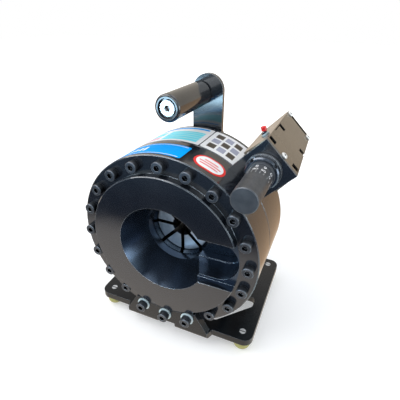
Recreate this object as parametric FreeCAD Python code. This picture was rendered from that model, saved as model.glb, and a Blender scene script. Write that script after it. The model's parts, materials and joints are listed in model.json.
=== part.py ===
import FreeCAD
import Part
import math
import os

# Hose crimping machine. Millimetres, +Z up, the front faces -Y, +X is to the right seen from the front.
# The origin is on the crimping axis, in the rear face of the cylinder body.

# Cylinder body and front cover, from the rim inwards
BODY_RADIUS = 110.5
BODY_LENGTH = 65.5
BODY_WALL = 22.5
PISTON_WIDTH = 36.0
SLEEVE_WALL = 10.0
SLEEVE_SHOE_GAP = 0.8
HOSE_BORE_STEP = 2.0
HOSE_BORE_LENGTH = 22.0
REAR_WALL = 13.0
REAR_CHAMFER = 3.0
EDGE_CHAMFER = 0.8
COVER_THICKNESS = 46.5
BOSS_HEIGHT = 10.0
BOSS_BOLT_GAP = 9.5

# Throat and side slot of the front cover
THROAT_DIE_GAP = 3.8
THROAT_FLARE = 14.7
THROAT_CONE_LENGTH = 40.0
SLOT_IN_THROAT = 13.3
SLOT_BOLT_GAP = 11.0
SLOT_INNER_STEP = 1.2
BOSS_SLOT_STEP = 3.5
SHOE_POCKET_DEPTH = 5.5
SHOE_POCKET_GAP = 0.5

# Cover screws, M8 socket heads
BOLT_EDGE_DISTANCE = 10.5
SCREW_COUNT = 20
TAB_SCREW_STEPS = (-1, 0, 1)
SCREW_RADIUS = 4.0
SCREW_HEAD_RADIUS = 6.5
SCREW_HEAD_HEIGHT = 8.0
SCREW_SOCKET_FLATS = 6.0
SCREW_SOCKET_DEPTH = 4.5
SCREW_ENGAGEMENT = 11.5
TAPPED_EXTRA = 1.0
COVER_HOLE_RADIUS = 4.5
THREAD_CLEARANCE = 0.05
WASHER_RADIUS = 8.4
WASHER_THICKNESS = 1.6

# Dies, shoes and the cone piston
DIE_COUNT = 8
DIE_GAP = 4.6
DIE_BORE_RADIUS = 7.5
DIE_HOSE_BORE_GAP = 4.5
DIE_LENGTH = 38.0
DIE_RECESS = 5.0
DIE_CHAMFER = 1.0
SHOE_LENGTH = 31.7
SHOE_THRUST_GAP = 0.3
SHOE_CHAMFER = 3.0
PISTON_STROKE = 12.0
DIE_STROKE = 5.3
CONE_WALL = 15.5
CONE_OVERLAP = 13.0
CONE_CLEARANCE = 0.12
PISTON_CROWN = 11.0
PISTON_REST_GAP = 1.0
RUNNING_CLEARANCE = 0.05
SEAL_HALF = 1.5
SEAL_SIDE_GAP = 0.2
SEAL_FROM_CROWN_REAR = 4.0

# Base plate with its bent-up tab
PLATE_THICKNESS = 9.0
PLATE_BODY_GAP = 2.0
PLATE_FRONT_INSET = 0.5
PLATE_REAR_OVERHANG = 53.5
PLATE_CORNER_RADIUS = 12.0
PLATE_HOLE_INSET_SIDE = 14.0
PLATE_HOLE_INSET_FRONT = 13.5
PLATE_HOLE_INSET_REAR = 12.5
WINDOW_FRONT_HALF = 59.0
WINDOW_SIDE_MARGIN = 13.5
WINDOW_FRONT_INSET = 16.5
WINDOW_SIDE_LENGTH = 16.5
WINDOW_SADDLE_GAP = 4.0
WINDOW_CORNER_RADIUS = 6.0
TAB_HALF_BOTTOM = 57.0
TAB_HALF_TOP = 41.0
TAB_FLARE = 4.0
TAB_BOSS_GAP = 1.5
TAB_SHOULDER_DROP = 24.5
TAB_NOTCH_HALF = 12.5
TAB_NOTCH_HEIGHT = 8.0
TAB_BEND_RADIUS = 4.0

# Feet
FOOT_RADIUS = 11.0
FOOT_HEIGHT = 15.5
FOOT_RIM_HEIGHT = 7.0
FOOT_FLAT_RADIUS = 6.0
STUD_LENGTH_IN_FOOT = 7.0
STUD_SLOT_WIDTH = 1.2
STUD_SLOT_DEPTH = 1.5

# Rear saddle between the plate and the body
SADDLE_HALF_WIDTH = 42.0
SADDLE_LENGTH = 22.0
SADDLE_REAR_Y = -12.0
SADDLE_SCREW_X = 30.0
SADDLE_SCREW_RADIUS = 3.0
SADDLE_SCREW_TIP_GAP = 0.5
SEAT_GAP = 0.05

# Handle, with heights counted from the body's rim
BRACKET_CENTRE_X = 5.2
BRACKET_WIDTH = 38.5
BRACKET_THICKNESS = 6.0
BRACKET_CENTRE_RISE = 43.8
BRACKET_OVERLAP = 23.5
BRACKET_BOLT_DROP = 11.5
BRACKET_BOLT_HALF = 11.0
BRACKET_BOLT_LENGTH = 24.0
GRIP_X = -4.5
GRIP_RISE = 39.7
GRIP_RADIUS = 14.4
GRIP_LENGTH = 85.0
GRIP_END_GAP = 0.3
GRIP_RIM_RADIUS = 2.6
GRIP_RECESS_RADIUS = 10.4
GRIP_RECESS_DEPTH = 4.0
GRIP_PIN_RADIUS = 5.0
GRIP_PIN_HEAD_RADIUS = 8.2
GRIP_PIN_HEAD_HEIGHT = 2.8
GRIP_PIN_HEAD_GAP = 0.2
GRIP_PIN_SOCKET = 6.0
GRIP_THREAD_RADIUS = 4.0
GRIP_THREAD_END = 2.0
NUT_FLATS_M8 = 13.0
NUT_HEIGHT_M8 = 6.5

# Size adjuster, laid out along a radius that leans to the right
ADJUSTER_ANGLE = 45.0
ADJUSTER_PLATE_HALF = 23.5
ADJUSTER_PLATE_THICKNESS = 4.0
ADJUSTER_PLATE_AHEAD = 8.5
ADJUSTER_AXIS_RISE = 20.5
ADJUSTER_PLATE_RISE = 23.3
LEG_HALF_WIDTH = 15.0
LEG_THICKNESS = 5.0
LEG_LENGTH = 50.0
LEG_SCREW_RADIUS = 2.5
LEG_SCREW_HEAD_RADIUS = 4.25
LEG_SCREW_HEAD_HEIGHT = 5.0
LEG_SCREW_ENGAGEMENT = 4.0
LEG_SCREW_SOCKET_FLATS = 4.0
LEG_SCREW_SOCKET_DEPTH = 2.5
LEG_SCREW_HALF = 10.0
LEG_SCREW_INSET = 5.0
BUSH_FLANGE_RADIUS = 18.8
BUSH_FLANGE_THICKNESS = 2.0
BUSH_RADIUS = 9.0
BUSH_REAR_LENGTH = 2.0
BRIGHT_WASHER_RADIUS = 18.2
BRIGHT_WASHER_THICKNESS = 1.5
RING_NUT_RADIUS = 17.5
RING_NUT_HEIGHT = 7.0
RING_NUT_CHAMFER = 1.3
RING_NUT_SLOT_WIDTH = 4.0
RING_NUT_SLOT_DEPTH = 2.5
RING_NUT_TURN = 6.0
KNOB_RADIUS = 12.7
KNOB_COLLAR_RADIUS = 14.2
KNOB_COLLAR_LENGTH = 5.0
KNOB_LENGTH = 57.0
KNOB_GAP = 0.5
KNOB_CHAMFER = 0.7
SPINDLE_RADIUS = 4.0
SPINDLE_IN_KNOB = 40.0
SPINDLE_REAR_REACH = 17.5

# Switch carriage, microswitch and follower
CARRIAGE_REST_GAP = 4.6
CARRIAGE_LENGTH = 5.0
CARRIAGE_HALF_WIDTH = 8.0
CARRIAGE_HALF_HEIGHT = 6.0
CARRIAGE_FOOT_HALF = 5.2
CARRIAGE_SLIDE_GAP = 0.2
SWITCH_HALF_WIDTH = 10.0
SWITCH_TOP_GAP = 0.5
SWITCH_LENGTH = 7.5
SWITCH_OVERHANG = 1.0
PLUNGER_RADIUS = 1.5
PLUNGER_ABOVE_CARRIAGE = 5.0
PLUNGER_REACH = 1.8
PLUNGER_INSIDE = 4.0
PLUNGER_TRAVEL = 1.0
FOLLOWER_RADIUS = 3.0
FOLLOWER_FROM_CROWN = 12.0
FOLLOWER_IN_PISTON = 8.0
FOLLOWER_ABOVE_PLUNGER = 3.0
FOLLOWER_SIDE_GAP = 0.4

# Switch housing cover
HOUSING_SHEET = 1.5
HOUSING_LENGTH = 114.5
HOUSING_LEG_GAP = 14.3
HOUSING_WALL_STRAIGHT = 75.0
HOUSING_WALL_REAR_DEPTH = 4.0
HOUSING_SPLAY = 5.0
HOUSING_TAPER = 2.2
HOUSING_FLOOR_GAP = 0.2
HOUSING_FLOOR_WINDOW_GAP = 1.0
HOUSING_SLOT_LENGTH = 9.0
HOUSING_SLOT_WIDTH = 8.0
HOUSING_SLOT_MARGIN = 5.7
HOUSING_SLOT_INSETS = (7.5, 54.0)
HOUSING_SEAM_WIDTH = 0.9
HOUSING_REAR_GAP = 6.0
HOUSING_SCREW_RADIUS = 1.5
HOUSING_SCREW_HEAD_RADIUS = 3.6
HOUSING_SCREW_HEAD_HEIGHT = 2.2
HOUSING_SCREW_HEAD_CHAMFER = 0.9
HOUSING_SCREW_CROSS_LENGTH = 3.6
HOUSING_SCREW_CROSS_WIDTH = 0.8
HOUSING_SCREW_LENGTH = 5.0
HOUSING_FRONT_SCREW = (2.5, 0.6)
HOUSING_REAR_SCREW_INSETS = (9.5, 6.0)
HOUSING_REAR_SCREW_MARGINS = (7.5, 4.0)

# Toggle switch on the housing's upper wall
TOGGLE_INSET_Y = 28.0
TOGGLE_DEPTH = 10.2
TOGGLE_BUSHING_RADIUS = 3.0
TOGGLE_BUSHING_HEIGHT = 3.6
TOGGLE_BODY_HALF = 3.5
TOGGLE_BODY_HALF_LENGTH = 6.0
TOGGLE_BODY_DEPTH = 8.0
TOGGLE_NUT_FLATS = 8.0
TOGGLE_NUT_HEIGHT = 2.0
TOGGLE_LEAN = 25.0
TOGGLE_LEVER_RADIUS = 1.2
TOGGLE_BALL_RADIUS = 1.6
TOGGLE_BALL_DEPTH = 1.6
TOGGLE_SOCKET_GAP = 0.3
TOGGLE_LEVER_LENGTH = 6.6
TOGGLE_CAP_RADIUS = 2.9
TOGGLE_CAP_LENGTH = 4.6
TOGGLE_CAP_CROWN = 1.0
TOGGLE_CAP_CHAMFER = 0.6

# Hydraulic ports in the rear wall
INLET_ANGLE = 225.0
INLET_RADIUS = 5.9
BLEED_ANGLE = 315.0
BLEED_RADIUS = 3.0
BLEED_HEAD_RADIUS = 5.0
BLEED_HEAD_HEIGHT = 3.0
BLEED_SOCKET_FLATS = 4.0
BLEED_SOCKET_DEPTH = 1.8
BLEED_END_GAP = 2.0

# Radii that follow from the body's radius
BOLT_CIRCLE_RADIUS = BODY_RADIUS - BOLT_EDGE_DISTANCE
BOSS_RADIUS = BOLT_CIRCLE_RADIUS - BOSS_BOLT_GAP
CYLINDER_BORE_RADIUS = BODY_RADIUS - BODY_WALL
SHOE_POCKET_RADIUS = CYLINDER_BORE_RADIUS + SHOE_POCKET_GAP
PISTON_RADIUS = CYLINDER_BORE_RADIUS - RUNNING_CLEARANCE
SLEEVE_RADIUS = CYLINDER_BORE_RADIUS - PISTON_WIDTH
DIE_RELIEF_RADIUS = SLEEVE_RADIUS - SLEEVE_WALL
HOSE_BORE_RADIUS = DIE_RELIEF_RADIUS - HOSE_BORE_STEP
DIE_OUTER_RADIUS = HOSE_BORE_RADIUS - DIE_HOSE_BORE_GAP
THROAT_RADIUS = DIE_OUTER_RADIUS + THROAT_DIE_GAP
MOUTH_RADIUS = THROAT_RADIUS + THROAT_FLARE
SLOT_HALF = THROAT_RADIUS - SLOT_IN_THROAT
SLOT_END_X = BOLT_CIRCLE_RADIUS - SLOT_BOLT_GAP - SLOT_HALF
BOSS_SLOT_HALF = SLOT_HALF + BOSS_SLOT_STEP
PORT_CIRCLE_RADIUS = (SLEEVE_RADIUS + CYLINDER_BORE_RADIUS) / 2

# Planes along the machine
JOINT_Y = -BODY_LENGTH
FLANGE_Y = JOINT_Y - COVER_THICKNESS
BOSS_Y = FLANGE_Y - BOSS_HEIGHT
POCKET_Y = JOINT_Y - SHOE_POCKET_DEPTH
SHOE_FRONT_Y = POCKET_Y + SHOE_THRUST_GAP
SHOE_REAR_Y = SHOE_FRONT_Y + SHOE_LENGTH
SLEEVE_FRONT_Y = SHOE_REAR_Y + SLEEVE_SHOE_GAP
DIE_FRONT_Y = POCKET_Y + DIE_RECESS
PISTON_REAR_Y = -REAR_WALL - PISTON_REST_GAP
CROWN_FRONT_Y = PISTON_REAR_Y - PISTON_CROWN
CONE_FRONT_Y = SHOE_REAR_Y - CONE_OVERLAP
CONE_MOUTH_APOTHEM = CYLINDER_BORE_RADIUS - CONE_WALL
CONE_SLOPE = DIE_STROKE / PISTON_STROKE
SCREW_LENGTH = COVER_THICKNESS + SCREW_ENGAGEMENT

# Plate, saddle and handle
PLATE_TOP_Z = -BODY_RADIUS - PLATE_BODY_GAP
PLATE_BOTTOM_Z = PLATE_TOP_Z - PLATE_THICKNESS
PLATE_HALF_WIDTH = BODY_RADIUS
PLATE_FRONT_Y = FLANGE_Y + PLATE_FRONT_INSET
PLATE_REAR_Y = PLATE_REAR_OVERHANG
PLATE_HOLES = [
    (side * (PLATE_HALF_WIDTH - PLATE_HOLE_INSET_SIDE), y)
    for side in (-1, 1)
    for y in (PLATE_FRONT_Y + PLATE_HOLE_INSET_FRONT, PLATE_REAR_Y - PLATE_HOLE_INSET_REAR)
]
TAB_FRONT_Y = FLANGE_Y - PLATE_THICKNESS
TAB_SHOULDER_Z = -BODY_RADIUS + TAB_SHOULDER_DROP
BRACKET_BOTTOM_Z = BODY_RADIUS - BRACKET_OVERLAP
BRACKET_BOLT_Z = BODY_RADIUS - BRACKET_BOLT_DROP
BRACKET_TOP_CENTRE_Z = BODY_RADIUS + BRACKET_CENTRE_RISE
GRIP_Z = BODY_RADIUS + GRIP_RISE

# Adjuster and its switch
ADJUSTER_PLATE_FRONT_Y = JOINT_Y - ADJUSTER_PLATE_AHEAD
ADJUSTER_PLATE_REAR_Y = ADJUSTER_PLATE_FRONT_Y + ADJUSTER_PLATE_THICKNESS
LEG_TOP_U = BODY_RADIUS + LEG_THICKNESS
LEG_REAR_Y = ADJUSTER_PLATE_FRONT_Y + LEG_LENGTH
LEG_SCREW_LENGTH = LEG_THICKNESS + LEG_SCREW_ENGAGEMENT
ADJUSTER_AXIS_U = LEG_TOP_U + ADJUSTER_AXIS_RISE
BUSH_REAR_Y = ADJUSTER_PLATE_REAR_Y + BUSH_REAR_LENGTH
BUSH_FRONT_Y = (ADJUSTER_PLATE_FRONT_Y - BUSH_FLANGE_THICKNESS - BRIGHT_WASHER_THICKNESS
                - RING_NUT_HEIGHT)
KNOB_REAR_Y = BUSH_FRONT_Y - KNOB_GAP
HOUSING_FRONT_Y = ADJUSTER_PLATE_REAR_Y
HOUSING_REAR_Y = HOUSING_FRONT_Y + HOUSING_LENGTH
HOUSING_TOP_U = ADJUSTER_AXIS_U + ADJUSTER_PLATE_RISE
HOUSING_INNER_U = HOUSING_TOP_U - HOUSING_SHEET
HOUSING_WALL_DEPTH = HOUSING_TOP_U - LEG_TOP_U - HOUSING_LEG_GAP
CARRIAGE_FRONT_Y = BUSH_REAR_Y + CARRIAGE_REST_GAP
CARRIAGE_FOOT_TOP_U = ADJUSTER_AXIS_U - CARRIAGE_HALF_HEIGHT
CARRIAGE_TOP_U = ADJUSTER_AXIS_U + CARRIAGE_HALF_HEIGHT
SWITCH_TOP_U = HOUSING_TOP_U - HOUSING_SCREW_LENGTH - SWITCH_TOP_GAP
PLUNGER_U = CARRIAGE_TOP_U + PLUNGER_ABOVE_CARRIAGE
FOLLOWER_REST_Y = CROWN_FRONT_Y - FOLLOWER_FROM_CROWN
FOLLOWER_ROOT_U = CYLINDER_BORE_RADIUS - FOLLOWER_IN_PISTON
FOLLOWER_TOP_U = PLUNGER_U + FOLLOWER_ABOVE_PLUNGER
TOGGLE_BALL_Z = TOGGLE_BUSHING_HEIGHT - TOGGLE_BALL_DEPTH

AXIS_Y = FreeCAD.Vector(0, 1, 0)
ORIGIN = FreeCAD.Vector(0, 0, 0)


def vec(x, y, z):
    return FreeCAD.Vector(x, y, z)


def cyl_y(radius, y_start, y_end, x=0.0, z=0.0):
    """Cylinder along Y between two planes."""
    return Part.makeCylinder(radius, y_end - y_start, vec(x, y_start, z), AXIS_Y)


def cyl_z(radius, z_start, z_end, x=0.0, y=0.0):
    """Cylinder along Z between two planes."""
    return Part.makeCylinder(radius, z_end - z_start, vec(x, y, z_start))


def box(x_span, y_span, z_span):
    """Box between pairs of planes."""
    return Part.makeBox(x_span[1] - x_span[0], y_span[1] - y_span[0], z_span[1] - z_span[0],
                        vec(x_span[0], y_span[0], z_span[0]))


def revolve_y(profile):
    """Solid of revolution about Y from a closed list of (radius, y) points."""
    points = [vec(radius, y, 0) for radius, y in profile]
    wire = Part.makePolygon(points + points[:1])
    return Part.Face(wire).revolve(ORIGIN, AXIS_Y, 360)


def prism_y(points, y_start, y_end):
    """Extrusion along Y of a closed list of (x, z) points."""
    corners = [vec(x, y_start, z) for x, z in points]
    wire = Part.makePolygon(corners + corners[:1])
    return Part.Face(wire).extrude(vec(0, y_end - y_start, 0))


def prism_z(points, z_start, z_end):
    """Extrusion along Z of a closed list of (x, y) points."""
    corners = [vec(x, y, z_start) for x, y in points]
    wire = Part.makePolygon(corners + corners[:1])
    return Part.Face(wire).extrude(vec(0, 0, z_end - z_start))


def hexagon_y(flats, y_start, y_end, x=0.0, z=0.0):
    """Hexagonal prism along Y, given its width across flats."""
    radius = flats / math.sqrt(3)
    angles = [math.radians(60 * step) for step in range(6)]
    points = [(x + radius * math.cos(a), z + radius * math.sin(a)) for a in angles]
    return prism_y(points, y_start, y_end)


def edges_where(shape, test):
    """Edges of a shape whose middle point and length pass a test."""
    return [edge for edge in shape.Edges if test(edge.CenterOfMass, edge)]


def round_upright_edges(shape, corners, radius):
    """Fillet the edges along Z that stand over the given (x, y) corners."""
    def over_corner(middle, edge):
        bound = edge.BoundBox
        upright = bound.XLength < 0.01 and bound.YLength < 0.01
        return upright and any(math.hypot(middle.x - x, middle.y - y) < 0.1 for x, y in corners)
    return shape.makeFillet(radius, edges_where(shape, over_corner))


def turned(shape, angle):
    """Copy of a shape turned about the crimping axis, from +Z towards +X."""
    copy = shape.copy()
    copy.rotate(ORIGIN, AXIS_Y, angle)
    return copy


def leaned(shape):
    """Move a piece from the adjuster's own frame (across, along, out) onto the machine."""
    return turned(shape, ADJUSTER_ANGLE)


def bolt_place(step):
    """Centre (x, z) of a cover screw, counted in steps from the lowest one."""
    angle = math.radians(360.0 / SCREW_COUNT * step)
    return BOLT_CIRCLE_RADIUS * math.sin(angle), -BOLT_CIRCLE_RADIUS * math.cos(angle)


def all_steps():
    return [step for step in range(-1, SCREW_COUNT - 1)]


def cap_screw(radius, head_radius, head_height, length, socket_flats, socket_depth):
    """Socket head screw along Y: head in front of y = 0, shank behind it."""
    head = cyl_y(head_radius, -head_height, 0)
    rim = edges_where(head, lambda middle, edge: middle.y < 0.1 - head_height and len(edge.Vertexes) == 1)
    head = head.makeChamfer(head_radius * 0.09, rim)
    shank = cyl_y(radius, 0, length)
    socket = hexagon_y(socket_flats, -head_height, -head_height + socket_depth)
    return head.fuse(shank).cut(socket).removeSplitter()


def m8_screw(length):
    return cap_screw(SCREW_RADIUS - THREAD_CLEARANCE, SCREW_HEAD_RADIUS, SCREW_HEAD_HEIGHT, length,
                     SCREW_SOCKET_FLATS, SCREW_SOCKET_DEPTH)


def moved(shape, x, y, z):
    copy = shape.copy()
    copy.translate(vec(x, y, z))
    return copy


def side_slot(half_height, end_x, y_start, y_end):
    """Slot from the axis towards +X with a round end."""
    straight = box((0, end_x), (y_start, y_end), (-half_height, half_height))
    return straight.fuse(cyl_y(half_height, y_start, y_end, end_x))


def front_cover():
    profile = [
        (MOUTH_RADIUS, BOSS_Y),
        (BOSS_RADIUS - EDGE_CHAMFER, BOSS_Y),
        (BOSS_RADIUS, BOSS_Y + EDGE_CHAMFER),
        (BOSS_RADIUS, FLANGE_Y),
        (BODY_RADIUS - EDGE_CHAMFER, FLANGE_Y),
        (BODY_RADIUS, FLANGE_Y + EDGE_CHAMFER),
        (BODY_RADIUS, JOINT_Y - EDGE_CHAMFER),
        (BODY_RADIUS - EDGE_CHAMFER, JOINT_Y),
        (SHOE_POCKET_RADIUS, JOINT_Y),
        (SHOE_POCKET_RADIUS, POCKET_Y),
        (THROAT_RADIUS, POCKET_Y),
        (THROAT_RADIUS, BOSS_Y + THROAT_CONE_LENGTH),
    ]
    cover = revolve_y(profile)
    cone_end_y = BOSS_Y + THROAT_CONE_LENGTH
    cuts = [
        box((0, BODY_RADIUS), (BOSS_Y - 1, FLANGE_Y), (-BOSS_SLOT_HALF, BOSS_SLOT_HALF)),
        side_slot(SLOT_HALF, SLOT_END_X, FLANGE_Y - 1, cone_end_y),
        side_slot(SLOT_HALF - SLOT_INNER_STEP, SLOT_END_X, cone_end_y - 1, POCKET_Y + 1),
    ]
    for step in all_steps():
        x, z = bolt_place(step)
        cuts.append(cyl_y(COVER_HOLE_RADIUS, FLANGE_Y - 1, JOINT_Y + 1, x, z))
    for x, y in leg_screw_places():
        if y < JOINT_Y:
            cuts.append(leaned(leg_screw_hole(x, y)))
    return cover.cut(cuts)


def cylinder_body():
    profile = [
        (HOSE_BORE_RADIUS, 0),
        (BODY_RADIUS - REAR_CHAMFER, 0),
        (BODY_RADIUS, -REAR_CHAMFER),
        (BODY_RADIUS, JOINT_Y + EDGE_CHAMFER),
        (BODY_RADIUS - EDGE_CHAMFER, JOINT_Y),
        (CYLINDER_BORE_RADIUS, JOINT_Y),
        (CYLINDER_BORE_RADIUS, -REAR_WALL),
        (SLEEVE_RADIUS, -REAR_WALL),
        (SLEEVE_RADIUS, SLEEVE_FRONT_Y),
        (DIE_RELIEF_RADIUS, SLEEVE_FRONT_Y),
        (DIE_RELIEF_RADIUS, -HOSE_BORE_LENGTH),
        (HOSE_BORE_RADIUS, -HOSE_BORE_LENGTH),
    ]
    body = revolve_y(profile)
    cuts = []
    for step in all_steps():
        x, z = bolt_place(step)
        cuts.append(cyl_y(SCREW_RADIUS, JOINT_Y - 1, JOINT_Y + SCREW_ENGAGEMENT + TAPPED_EXTRA, x, z))
    for x, z in bracket_bolt_places():
        cuts.append(cyl_y(SCREW_RADIUS, -BRACKET_BOLT_LENGTH, 1, x, z))
    for x, y in leg_screw_places():
        if y > JOINT_Y:
            cuts.append(leaned(leg_screw_hole(x, y)))
    cuts.append(leaned(follower_slot(CYLINDER_BORE_RADIUS - 2, BODY_RADIUS + 1)))
    for angle, radius in ((INLET_ANGLE, INLET_RADIUS), (BLEED_ANGLE, BLEED_RADIUS)):
        x, z = port_place(angle)
        cuts.append(cyl_y(radius, -REAR_WALL - 1, 1, x, z))
    return body.cut(cuts)


def port_place(angle):
    turn = math.radians(angle)
    return PORT_CIRCLE_RADIUS * math.sin(turn), PORT_CIRCLE_RADIUS * math.cos(turn)


def cover_screws():
    screw = m8_screw(SCREW_LENGTH)
    places = [bolt_place(step) for step in all_steps() if step not in TAB_SCREW_STEPS]
    return Part.makeCompound([moved(screw, x, FLANGE_Y, z) for x, z in places])


def tab_screws():
    screw = m8_screw(SCREW_LENGTH + PLATE_THICKNESS + WASHER_THICKNESS)
    places = [bolt_place(step) for step in TAB_SCREW_STEPS]
    return Part.makeCompound([moved(screw, x, TAB_FRONT_Y - WASHER_THICKNESS, z) for x, z in places])


def tab_washers():
    washer = cyl_y(WASHER_RADIUS, -WASHER_THICKNESS, 0)
    washer = washer.cut(cyl_y(COVER_HOLE_RADIUS, -WASHER_THICKNESS - 1, 1))
    places = [bolt_place(step) for step in TAB_SCREW_STEPS]
    return Part.makeCompound([moved(washer, x, TAB_FRONT_Y, z) for x, z in places])


def sector_wedge(outer, y_start, y_end):
    """Space of one die station about +Z, between two planes half a gap inside its bounds."""
    half_turn = math.radians(180.0 / DIE_COUNT)
    apex = DIE_GAP / 2 / math.sin(half_turn)
    spread = outer * math.tan(half_turn)
    points = [(0, apex), (spread, apex + outer), (-spread, apex + outer)]
    return prism_y(points, y_start, y_end)


def die_segment():
    """Die at the top station, with its bore, outer seat and chamfered front."""
    rear_y = DIE_FRONT_Y + DIE_LENGTH
    profile = [
        (DIE_BORE_RADIUS + DIE_CHAMFER, DIE_FRONT_Y),
        (DIE_OUTER_RADIUS - DIE_CHAMFER, DIE_FRONT_Y),
        (DIE_OUTER_RADIUS, DIE_FRONT_Y + DIE_CHAMFER),
        (DIE_OUTER_RADIUS, rear_y),
        (DIE_BORE_RADIUS + DIE_CHAMFER, rear_y),
        (DIE_BORE_RADIUS, rear_y - DIE_CHAMFER),
        (DIE_BORE_RADIUS, DIE_FRONT_Y + DIE_CHAMFER),
    ]
    return revolve_y(profile).common(sector_wedge(2 * DIE_OUTER_RADIUS, DIE_FRONT_Y, rear_y))


def cone_apothem(y):
    """Distance from the axis to the cone's flats at rest."""
    return CONE_MOUTH_APOTHEM + (CONE_FRONT_Y - y) * CONE_SLOPE


def shoe_segment():
    """Shoe at the top station: round seat for the die, flat wedge face outside."""
    blank = revolve_y([
        (DIE_OUTER_RADIUS + SHOE_CHAMFER, SHOE_FRONT_Y),
        (CYLINDER_BORE_RADIUS - 1, SHOE_FRONT_Y),
        (CYLINDER_BORE_RADIUS - 1, SHOE_REAR_Y),
        (DIE_OUTER_RADIUS, SHOE_REAR_Y),
        (DIE_OUTER_RADIUS, SHOE_FRONT_Y + SHOE_CHAMFER),
    ])
    wedge = sector_wedge(2 * CYLINDER_BORE_RADIUS, SHOE_FRONT_Y, SHOE_REAR_Y)
    side = [vec(-CYLINDER_BORE_RADIUS, SHOE_FRONT_Y, 0),
            vec(-CYLINDER_BORE_RADIUS, SHOE_REAR_Y, 0),
            vec(-CYLINDER_BORE_RADIUS, SHOE_REAR_Y, cone_apothem(SHOE_REAR_Y)),
            vec(-CYLINDER_BORE_RADIUS, SHOE_FRONT_Y, cone_apothem(SHOE_FRONT_Y))]
    under_cone = Part.Face(Part.makePolygon(side + side[:1]))
    under_cone = under_cone.extrude(vec(2 * CYLINDER_BORE_RADIUS, 0, 0))
    return blank.common(wedge).common(under_cone)


def station_angle(number):
    return 360.0 / DIE_COUNT * (number - 0.5)


def octagon_wire(apothem, y):
    radius = apothem / math.cos(math.pi / DIE_COUNT)
    turns = [2 * math.pi * step / DIE_COUNT for step in range(DIE_COUNT)]
    points = [vec(radius * math.sin(turn), y, radius * math.cos(turn)) for turn in turns]
    return Part.makePolygon(points + points[:1])


def square_ring(inner, outer, half_width):
    """Ring of square section in the plane of the piston's seals."""
    middle = PISTON_REAR_Y - SEAL_FROM_CROWN_REAR
    return revolve_y([(inner, middle - half_width), (outer, middle - half_width),
                      (outer, middle + half_width), (inner, middle + half_width)])


def cone_piston():
    """Annular piston whose skirt is a cone with one flat for each shoe."""
    inner = SLEEVE_RADIUS + RUNNING_CLEARANCE
    outer = PISTON_RADIUS
    ring = cyl_y(outer, CONE_FRONT_Y, PISTON_REAR_Y).cut(cyl_y(inner, CONE_FRONT_Y - 1, PISTON_REAR_Y + 1))
    overrun = 1.0
    mouth = octagon_wire(cone_apothem(CONE_FRONT_Y - overrun) + CONE_CLEARANCE, CONE_FRONT_Y - overrun)
    root = octagon_wire(cone_apothem(CROWN_FRONT_Y) + CONE_CLEARANCE, CROWN_FRONT_Y)
    cone = Part.makeLoft([mouth, root], True, True)
    depth = 2 * SEAL_HALF + SEAL_SIDE_GAP
    grooves = [
        square_ring(outer - depth, outer + 1, SEAL_HALF + SEAL_SIDE_GAP),
        square_ring(inner - 1, inner + depth, SEAL_HALF + SEAL_SIDE_GAP),
    ]
    pin_hole = leaned(cyl_z(FOLLOWER_RADIUS, FOLLOWER_ROOT_U, BODY_RADIUS, 0, FOLLOWER_REST_Y))
    return ring.cut([cone, pin_hole] + grooves)


def piston_seals():
    """Square rings, one against the cylinder and one against the sleeve."""
    inner = SLEEVE_RADIUS + RUNNING_CLEARANCE
    return Part.makeCompound([
        square_ring(PISTON_RADIUS - 2 * SEAL_HALF, PISTON_RADIUS, SEAL_HALF),
        square_ring(inner, inner + 2 * SEAL_HALF, SEAL_HALF),
    ])


def plate_outline():
    """Front edge of the plate steps forward to the tab's face between the tab's sides."""
    return [
        (-PLATE_HALF_WIDTH, PLATE_FRONT_Y), (-TAB_HALF_BOTTOM - TAB_FLARE, PLATE_FRONT_Y),
        (-TAB_HALF_BOTTOM, TAB_FRONT_Y), (TAB_HALF_BOTTOM, TAB_FRONT_Y),
        (TAB_HALF_BOTTOM + TAB_FLARE, PLATE_FRONT_Y), (PLATE_HALF_WIDTH, PLATE_FRONT_Y),
        (PLATE_HALF_WIDTH, PLATE_REAR_Y), (-PLATE_HALF_WIDTH, PLATE_REAR_Y),
    ]


def window_outline():
    front = PLATE_FRONT_Y + WINDOW_FRONT_INSET
    rear = SADDLE_REAR_Y - SADDLE_LENGTH - WINDOW_SADDLE_GAP
    side = rear - WINDOW_SIDE_LENGTH
    half = PLATE_HALF_WIDTH - WINDOW_SIDE_MARGIN
    return [
        (-WINDOW_FRONT_HALF, front), (WINDOW_FRONT_HALF, front),
        (half, side), (half, rear), (-half, rear), (-half, side),
    ]


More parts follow.
